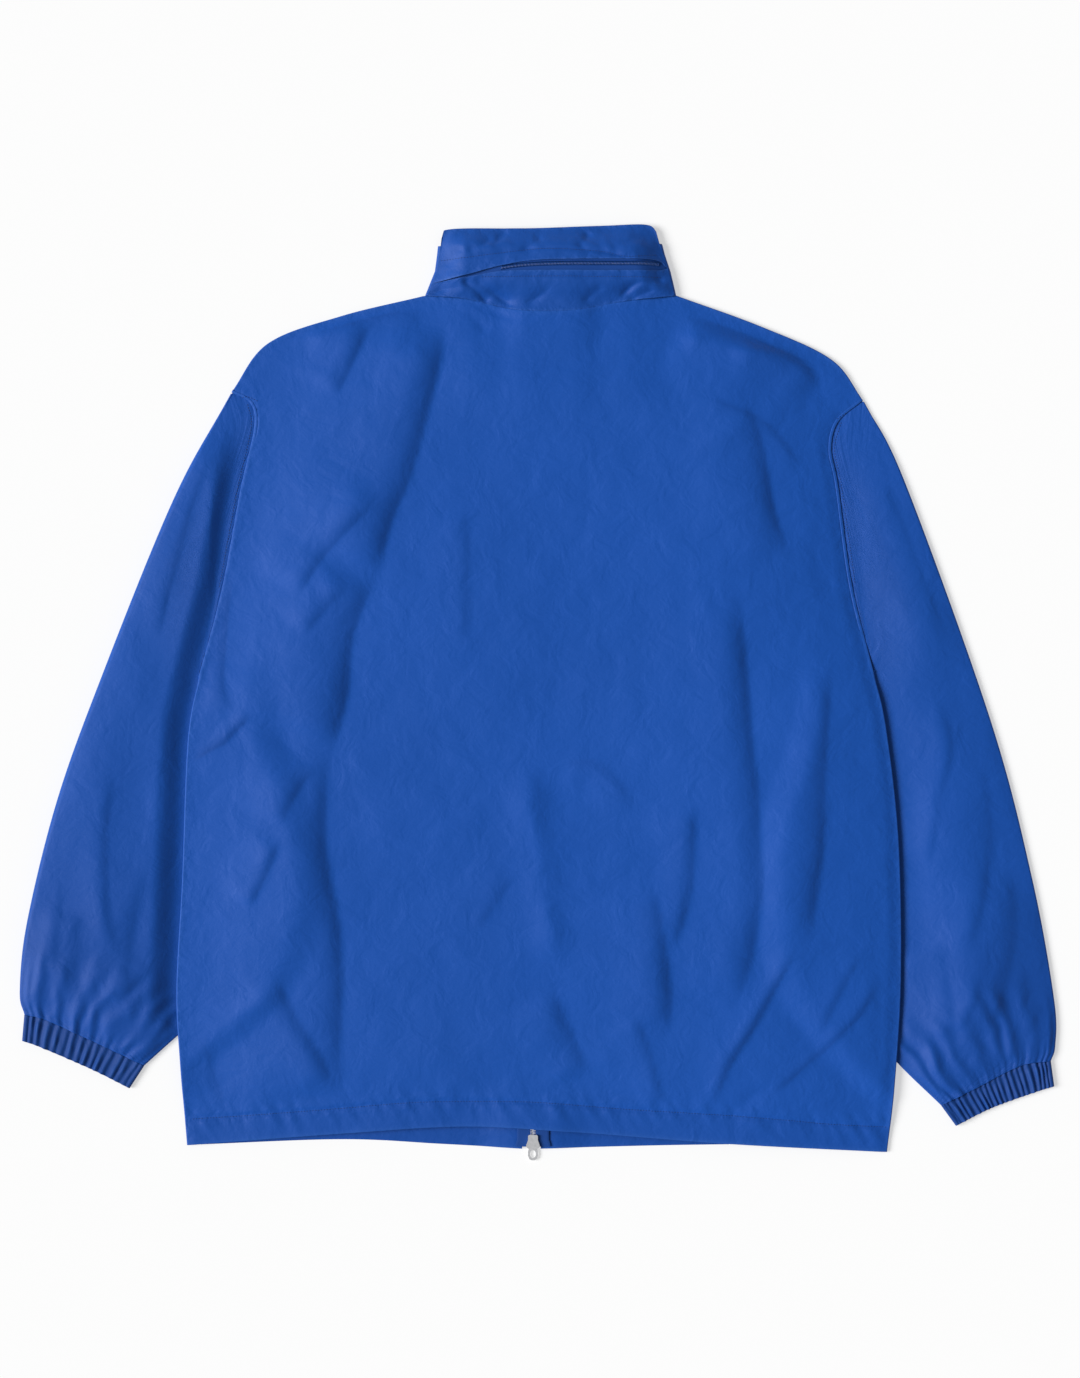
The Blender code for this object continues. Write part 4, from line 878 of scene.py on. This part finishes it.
COLLAR_CREASES = [
    (-2.6, 3, 5, [(-68, 364), (-55, 353), (-42, 341)]),
    (-2.4, 3, 5, [(-58, 364), (-40, 351), (-20, 338)]),
    (-2.4, 4, 5, [(-98, 350), (-82, 354), (-66, 356)]),
    (-2.6, 3, 5, [(70, 345), (85, 358), (102, 361), (115, 361)]),
    (-2.2, 3, 5, [(79, 344), (92, 350), (104, 354)]),
    (-1.5, 3, 4, [(-12, 340), (2, 348), (10, 356)]),
    (-1.0, 3, 4, [(40, 341), (48, 350), (58, 357)]),
    (-1.8, 3, 5, [(-64, 386), (-50, 392), (-38, 399)]),
    (-1.8, 3, 5, [(-41, 390), (-34, 398), (-26, 405)]),
    (-1.4, 3, 4, [(-16, 386), (-4, 393), (4, 400)]),
    (-1.5, 4, 4, [(35, 389), (41, 397), (46, 405)]),
    (-1.2, 4, 5, [(62, 388), (76, 394), (92, 399)]),
    (-1.2, 5, 5, [(-84, 372), (-74, 382), (-68, 392)]),
    (-1.1, 1.3, 1.3, [(-86, 379), (-60, 381.5), (-6, 388), (22, 388.5), (58, 386), (78, 382), (104, 384)]),
    (-1.0, 1.3, 1.3, [(-50, 364), (20, 364.5), (108, 364)]),
]


# How far the inner band lies over the outer one's front half, and how much further over the
# zip's tape; then the empty collar's thickness there and the height that the hood gives it
INNER_LIFT, TAPE_ROOM, COLLAR_EMPTY, COLLAR_FULL = 1.7, 1.2, 3.2, 10.0


def inner_z(x, y):
    """Middle of the inner band's front half, over the outer one and the main zip's tape."""
    return front_z(x, y) + INNER_LIFT + TAPE_ROOM * zip_near(x, y)


def collar_z(x, y, bare=False):
    """Middle of the outer bands' back half, raised by the rolled hood."""
    inside = np.minimum(x - np.interp(y, COLLAR_Y, COLLAR_LEFT), np.interp(y, COLLAR_Y, COLLAR_RIGHT) - x)
    base = inner_z(x, y) + COLLAR_EMPTY
    full = ease(-2, 30, inside) * ease(338, 364, y) * (1 - 0.9 * ease(389, 410, y))
    z = base + full * (COLLAR_FULL - 0.7 * (base - 5.4))
    if bare:
        return z
    soft = 0.5 * ripple(x, y, 26, 41) + 0.25 * ripple(x, y, 9, 42)
    return z + ease(0, 12, inside) * (soft * ease(336, 346, y) + creases(x, y, COLLAR_CREASES) + 0.3)


ZIP_GAP, BAND_CUT = 6.9, 45.0


def band(low_back, high_back, low_front, high_front, inset, top_z, low_z, shares):
    """A C-shaped band: from the main zip round one fold, across the back, round to the zip."""
    lows, highs = curve(low_back, 90), curve(high_back, 90)
    fronts, tops = curve(low_front, 90), curve(high_front, 90)
    points, cuts = [], []
    for share in shares:
        def mix(low, high, x):
            first, last = (np.interp(x, line[:, 0], line[:, 1]) for line in (low, high))
            return first * (1 - share) + last * share

        ends = []
        for table_of_edge, way in ((COLLAR_LEFT, inset), (COLLAR_RIGHT, -inset)):
            x = table_of_edge[0]
            for _ in range(4):
                y = mix(lows, highs, x)
                x = np.interp(y, COLLAR_Y, table_of_edge)
            ends.append((x + way, y))
        (xl, yl), (xr, yr) = ends
        start = xl + (top_z(xl + 3, yl) - low_z(xl + 3, yl)) / 2 + 0.5
        end = xr - (top_z(xr - 3, yr) - low_z(xr - 3, yr)) / 2 - 0.5
        middle = mix(fronts, tops, 9.5)
        s = np.linspace(0.0, 1.0, 36)
        x1 = (zip_x(middle) - ZIP_GAP) * (1 - s) + start * s
        y1 = mix(fronts, tops, x1) * (1 - s ** 8) + yl * s ** 8
        turn = np.pi * np.linspace(0.0, 1.0, 13)[1:-1]
        low, r = low_z(start, yl), (top_z(start, yl) - low_z(start, yl)) / 2
        x2, z2 = start - (r + 0 * turn) * np.sin(turn), low + r * (1 - np.cos(turn))
        s = np.linspace(0.0, 1.0, 96)
        x3 = start + (end - start) * s
        y3 = mix(lows, highs, x3)
        low, r = low_z(end, yr), (top_z(end, yr) - low_z(end, yr)) / 2
        x4, z4 = end + r * np.sin(turn), low + r * (1 + np.cos(turn))
        s = np.linspace(0.0, 1.0, 36)
        x5 = end * (1 - s) + (zip_x(middle) + ZIP_GAP) * s
        y5 = mix(fronts, tops, x5) * (1 - (1 - s) ** 8) + yr * (1 - s) ** 8
        row = np.vstack([np.column_stack([x1, y1, low_z(x1, y1)]), np.column_stack([x2, yl + 0 * x2, z2]),
                         np.column_stack([x3, y3, top_z(x3, y3)]), np.column_stack([x4, yr + 0 * x4, z4]),
                         np.column_stack([x5, y5, low_z(x5, y5)])])
        run = lengths(row)
        points.append(row)
        cuts.append(np.column_stack([run - run[-1] / 2, np.full(len(run), share * BAND_CUT)]))
    return np.array(points), np.array(cuts)


shares = np.concatenate([np.linspace(0, 0.15, 6)[:-1], np.linspace(0.15, 0.85, 18)[:-1],
                         np.linspace(0.85, 1, 6)])
for name, node_name, values, height, area in (
        ("collar_lower_band", "collar_lower",
         ([(x, y - 0.4) for x, y in NECK_BACK], STAND_BACK, [(x, y - 0.4) for x, y in NECK_FRONT],
          [(x, y - 0.3) for x, y in BAND_FRONT], 0.5, collar_z, front_z), 0.040, 0.0124),
        ("collar_upper_band", "collar_upper",
         (FLAP_BACK, RIM_BACK, BAND_FRONT, RIM_FRONT, 0.5, collar_z, front_z), 0.042, 0.0138),
        ("collar_inner_band", "collar_inner",
         ([(x, y + 1.5) for x, y in NECK_BACK], [(x, y - 1.2) for x, y in RIM_BACK],
          [(x, y + 1.5) for x, y in NECK_FRONT], [(x, y - 1.2) for x, y in RIM_FRONT], 4.5,
          lambda x, y: inner_z(x, y) + INNER_LIFT, inner_z), 0.080, 0.0255)):
    points, cut = band(*values, shares)
    edge = np.minimum(shares, 1 - shares)[:, None] * height * 1000 * np.ones(points.shape[1])[None]
    piece = cloth(name, points, cut, collar_cloth, 0.8 * np.exp(-edge / 1.2), np.exp(-edge / 5))
    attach(piece, "jacket")
    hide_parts(node_name)

# ---------------------------------------------------------------- hood in its collar
# The hood of the same nylon, rolled up along the back of the neck between the collar's
# layers. It is never seen, and gives the collar its bulk.
ROLL_MIDDLE, ROLL_HALF, ROLL_Y, ROLL_REACH = 10.0, 82.0, 376.0, 18.5
along_roll = np.concatenate([[-1.0], np.linspace(-1.0, 1.0, 60), [1.0]])
size = 1 - 0.75 * np.abs(along_roll) ** 4
size[[0, -1]] = 0.02
turn = np.linspace(0.0, 2 * np.pi, 57)
x = (ROLL_MIDDLE + ROLL_HALF * along_roll)[:, None] + 0 * turn
wrap = size[:, None] * (0.96 + 0.04 * np.cos(5 * turn + 0.12 * x))
y = ROLL_Y + ROLL_REACH * wrap * np.cos(turn)
low, high = inner_z(x, y) + 2.6, collar_z(x, y, bare=True) - 3.6
points = np.dstack([x, y, (low + high) / 2 + (high - low) / 2 * wrap * np.sin(turn)])
cut = np.dstack([x, 12.0 * turn + 0 * x])
hood = cloth("hood_rolled", points, cut, collar_cloth, 0 * x, 0.3 + 0 * x, closed=True)
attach(hood, "jacket")
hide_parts("hood_roll")

# ---------------------------------------------------------------- hood's zip
# A narrow woven tape sewn in between the collar's bands, with a spiral of nylon along its
# middle that shows in the slot under the upper band's edge.
tape_cloth = nylon("zip_tape_weave", (0.0050, 0.0560, 0.2800), (0.020, 0.080, 0.280), rough=0.7,
                   threads=4200.0, relief=0.10, crinkles=0.2, puckers=0.4)
s, t = np.linspace(0.0, 1.0, 110), np.linspace(0.0, 1.0, 12)
x = np.linspace(-80.0, 113.0, 110)[None] + 0 * t[:, None]
stand, flap = curve(STAND_BACK, 90), curve(FLAP_BACK, 90)
low, high = np.interp(x, stand[:, 0], stand[:, 1]) - 5, np.interp(x, flap[:, 0], flap[:, 1]) + 5
y = low + (high - low) * t[:, None]
sunk = 1.5 + 1.8 * (1 - ease(-58, -34, x))
tape = cloth("hood_zip_tape", np.dstack([x, y, collar_z(x, y, bare=True) - sunk]), np.dstack([x, y]),
             tape_cloth, 0 * x, 0.2 + 0 * x)
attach(tape, "jacket")
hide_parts("hood_zip")

coil_nylon, tree, shader, place = new_finish("zip_coil_nylon")
dye = node(tree, "ShaderNodeTexNoise", {"Vector": place, "Scale": 900.0, "Detail": 2.0}).outputs["Fac"]
dyed = blend(tree, dye, (0.004, 0.035, 0.170, 1.0), (0.010, 0.075, 0.330, 1.0))
tree.links.new(dyed, shader.inputs["Base Color"])
tree.links.new(reckon(tree, "MULTIPLY_ADD", dye, 0.2, 0.26), shader.inputs["Roughness"])


def slivers(name, places, ways, ups, half_sizes, look):
    """Many small rounded slivers in one mesh, each lying along its way."""
    bm = bmesh.new()
    for place, way, up in zip(places, ways, ups):
        up = Vector(up).normalized()
        way = (Vector(way) - up * up.dot(Vector(way))).normalized()
        turned = Matrix((way, up.cross(way), up)).transposed().to_4x4()
        matrix = Matrix.Translation(Vector(place) * MM) @ turned @ Matrix.Diagonal((*half_sizes, 1.0))
        bmesh.ops.create_icosphere(bm, subdivisions=1, radius=MM, matrix=matrix)
    mesh = bpy.data.meshes.new(name)
    bm.to_mesh(mesh)
    bm.free()
    mesh.shade_smooth()
    mesh.materials.append(look)
    piece = bpy.data.objects.new(name, mesh)
    scene.collection.objects.link(piece)
    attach(piece, "jacket")
    return piece


x = np.arange(-32.0, 106.0, 1.25)
middle = np.interp(x, flap[:, 0], flap[:, 1]) * 0.62 + np.interp(x, stand[:, 0], stand[:, 1]) * 0.38
places = np.column_stack([x, middle, collar_z(x, middle, bare=True) - 0.7])
slivers("hood_zip_coil", places, [(0.25, 1.0, 0.0)] * len(x), [(0.0, 0.0, 1.0)] * len(x), (2.3, 0.55, 0.6),
        coil_nylon)

# ---------------------------------------------------------------- main zip
# A two-way zip that lies closed against the table: a woven tape on each side, sewn under the
# fronts' edges, and a nylon coil along each, parted inside the sliders.
TAPE_LIFT = 1.3


def parted(y):
    """How far the sliders part each side of the zip."""
    return 1.6 * (np.clip((-393.0 - y) / 4.5, 0, 1) + np.clip((y - 356.5) / 4.5, 0, 1))


for side, sign in (("left", -1), ("right", 1)):
    y = np.linspace(-399.0, 366.0, 260)
    reach = np.array([2.2, 3.2, 4.6, 6.4, 8.2, 10.0, 12.0, 14.0])
    x = (zip_x(y) + sign * parted(y))[:, None] + sign * reach[None]
    y2 = y[:, None] + 0 * x
    order = slice(None, None, sign)
    points = np.dstack([x, y2, front_z(x, y2) + TAPE_LIFT])[:, order]
    cut = np.dstack([sign * reach[None] + 0 * x, y2])[:, order]
    rub = (np.exp(-reach / 4.0)[None] + 0 * x)[:, order]
    tape = cloth(f"zip_tape_cloth_{side}", points, cut, tape_cloth, 0.3 * rub, rub)
    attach(tape, "jacket")
    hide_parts(f"zip_tape_{side}")

    y = np.arange(-398.0 + (0.65 if sign > 0 else 0.0), 365.0, 1.3)
    x = zip_x(y) + sign * (parted(y) + 1.45)
    places = np.column_stack([x, y, front_z(zip_x(y), y) + TAPE_LIFT])
    slivers(f"zip_coil_{side}", places, [(1.0, sign * 0.2, 0.0)] * len(y), [(0.0, 0.0, 1.0)] * len(y),
            (1.75, 0.5, 0.75), coil_nylon)

# ---------------------------------------------------------------- sliders and pulls
# Two die-cast sliders with their pull tabs, bright silver with fine scratches and duller
# patches where fingers and cloth have rubbed them.
slider_metal, tree, shader, place = new_finish("slider_metal_worn")
shader.inputs["Metallic"].default_value = 0.6
brushed = node(tree, "ShaderNodeVectorMath", {0: place, 1: (2600.0, 260.0, 900.0)}, operation="MULTIPLY")
scratch = node(tree, "ShaderNodeTexNoise",
               {"Vector": brushed.outputs[0], "Scale": 1.0, "Detail": 3.0}).outputs["Fac"]
patches = node(tree, "ShaderNodeTexNoise", {"Vector": place, "Scale": 380.0, "Detail": 3.0}).outputs["Fac"]
tint = blend(tree, patches, (0.62, 0.63, 0.66, 1.0), (0.95, 0.95, 0.97, 1.0))
bump = node(tree, "ShaderNodeBump", {"Strength": 0.5, "Distance": 0.00005, "Height": scratch})
dull = reckon(tree, "MULTIPLY_ADD", scratch, 0.30, 0.12)
for label, source in (("Base Color", tint), ("Roughness", dull), ("Normal", bump.outputs["Normal"])):
    tree.links.new(source, shader.inputs[label])
for label in ("zip_slider_bottom", "zip_slider_top", "zip_pull_bottom", "zip_pull_top"):
    metal_part = frame["nodes"][label]
    if not metal_part.material_slots:
        metal_part.data.materials.append(slider_metal)
    for holder in metal_part.material_slots:
        holder.material = slider_metal

# ---------------------------------------------------------------- stitching
# Lockstitch in polyester thread, ten stitches to 25 mm, along the hem casings, the
# shoulders' ends, the collar's bands and the armholes; each stitch lies on the cloth.
# The thread's dark colour is partly its own dye and partly painted shade from the sunken stitch holes.
thread, tree, shader, place = new_finish("sewing_thread")
lot = node(tree, "ShaderNodeTexNoise", {"Vector": place, "Scale": 260.0, "Detail": 1.0}).outputs["Fac"]
dyed = blend(tree, lot, (0.0015, 0.016, 0.085, 1.0), (0.003, 0.036, 0.170, 1.0))
tree.links.new(dyed, shader.inputs["Base Color"])
shader.inputs["Roughness"].default_value = 0.5


STITCH_PITCH, STITCH_HALF_SIZES = 2.5, (0.95, 0.28, 0.2)


def sewn(name, pieces, routes, side=1):
    """Rows of stitches along routes, laid on the pieces' upper (side 1) or lower faces."""
    trees = [BVHTree.FromPolygons([v.co for v in p.data.vertices], [f.vertices for f in p.data.polygons])
             for p in pieces]
    places, ways, ups = [], [], []
    for route in routes:
        line = curve(route, 240)
        length = np.linalg.norm(np.diff(line, axis=0), axis=1).sum()
        count = int(length / STITCH_PITCH)
        spots = along(line, (np.arange(count) + 0.5) / count)
        ahead = along(line, np.minimum((np.arange(count) + 0.9) / count, 1.0)) - spots
        for (x, y), (dx, dy) in zip(spots, ahead):
            hits = [tree.ray_cast(Vector((x * MM, y * MM, side * 0.1)), Vector((0.0, 0.0, -side)))
                    for tree in trees]
            hits = [hit for hit in hits if hit[0] is not None]
            if not hits:
                continue
            place, up = max(((hit[0], hit[1]) for hit in hits), key=lambda pair: side * pair[0].z)
            up = up if up.z * side > 0 else -up
            if up.z * side < 0.4:
                continue
            places.append(place / MM + up * (0.32 if side > 0 else 0.02))
            ways.append((dx, dy, 0.0))
            ups.append(up)
    piece = slivers(name, places, ways, ups, STITCH_HALF_SIZES, thread)


made = bpy.data.objects
sewn("stitches_hem_back", [back], [[(x * 0.985, y) for x, y in HEM_STITCH]])
sewn("stitches_hem_front", [made["front_panel_left"], made["front_panel_right"]],
     [[(-300, -377), (-160, -371), (-22, -378)], [(22, -378), (160, -375), (298, -381)]], side=-1)
sewn("stitches_shoulders", [back],
     [[(-266, 258), (-256, 260), (-246, 256)], [(279, 249), (271, 246), (262, 240)]])
sewn("stitches_collar", [made["collar_upper_band"], made["collar_lower_band"]],
     [route for *_, route in COLLAR_CREASES[-2:]])
sewn("stitches_armholes", [made["sleeve_cloth_left"], made["sleeve_cloth_right"]],
     [[(x - 2.6, y) for x, y in ARM_LEFT[1:-1]], [(x + 2.6, y) for x, y in ARM_RIGHT[1:-1]]])
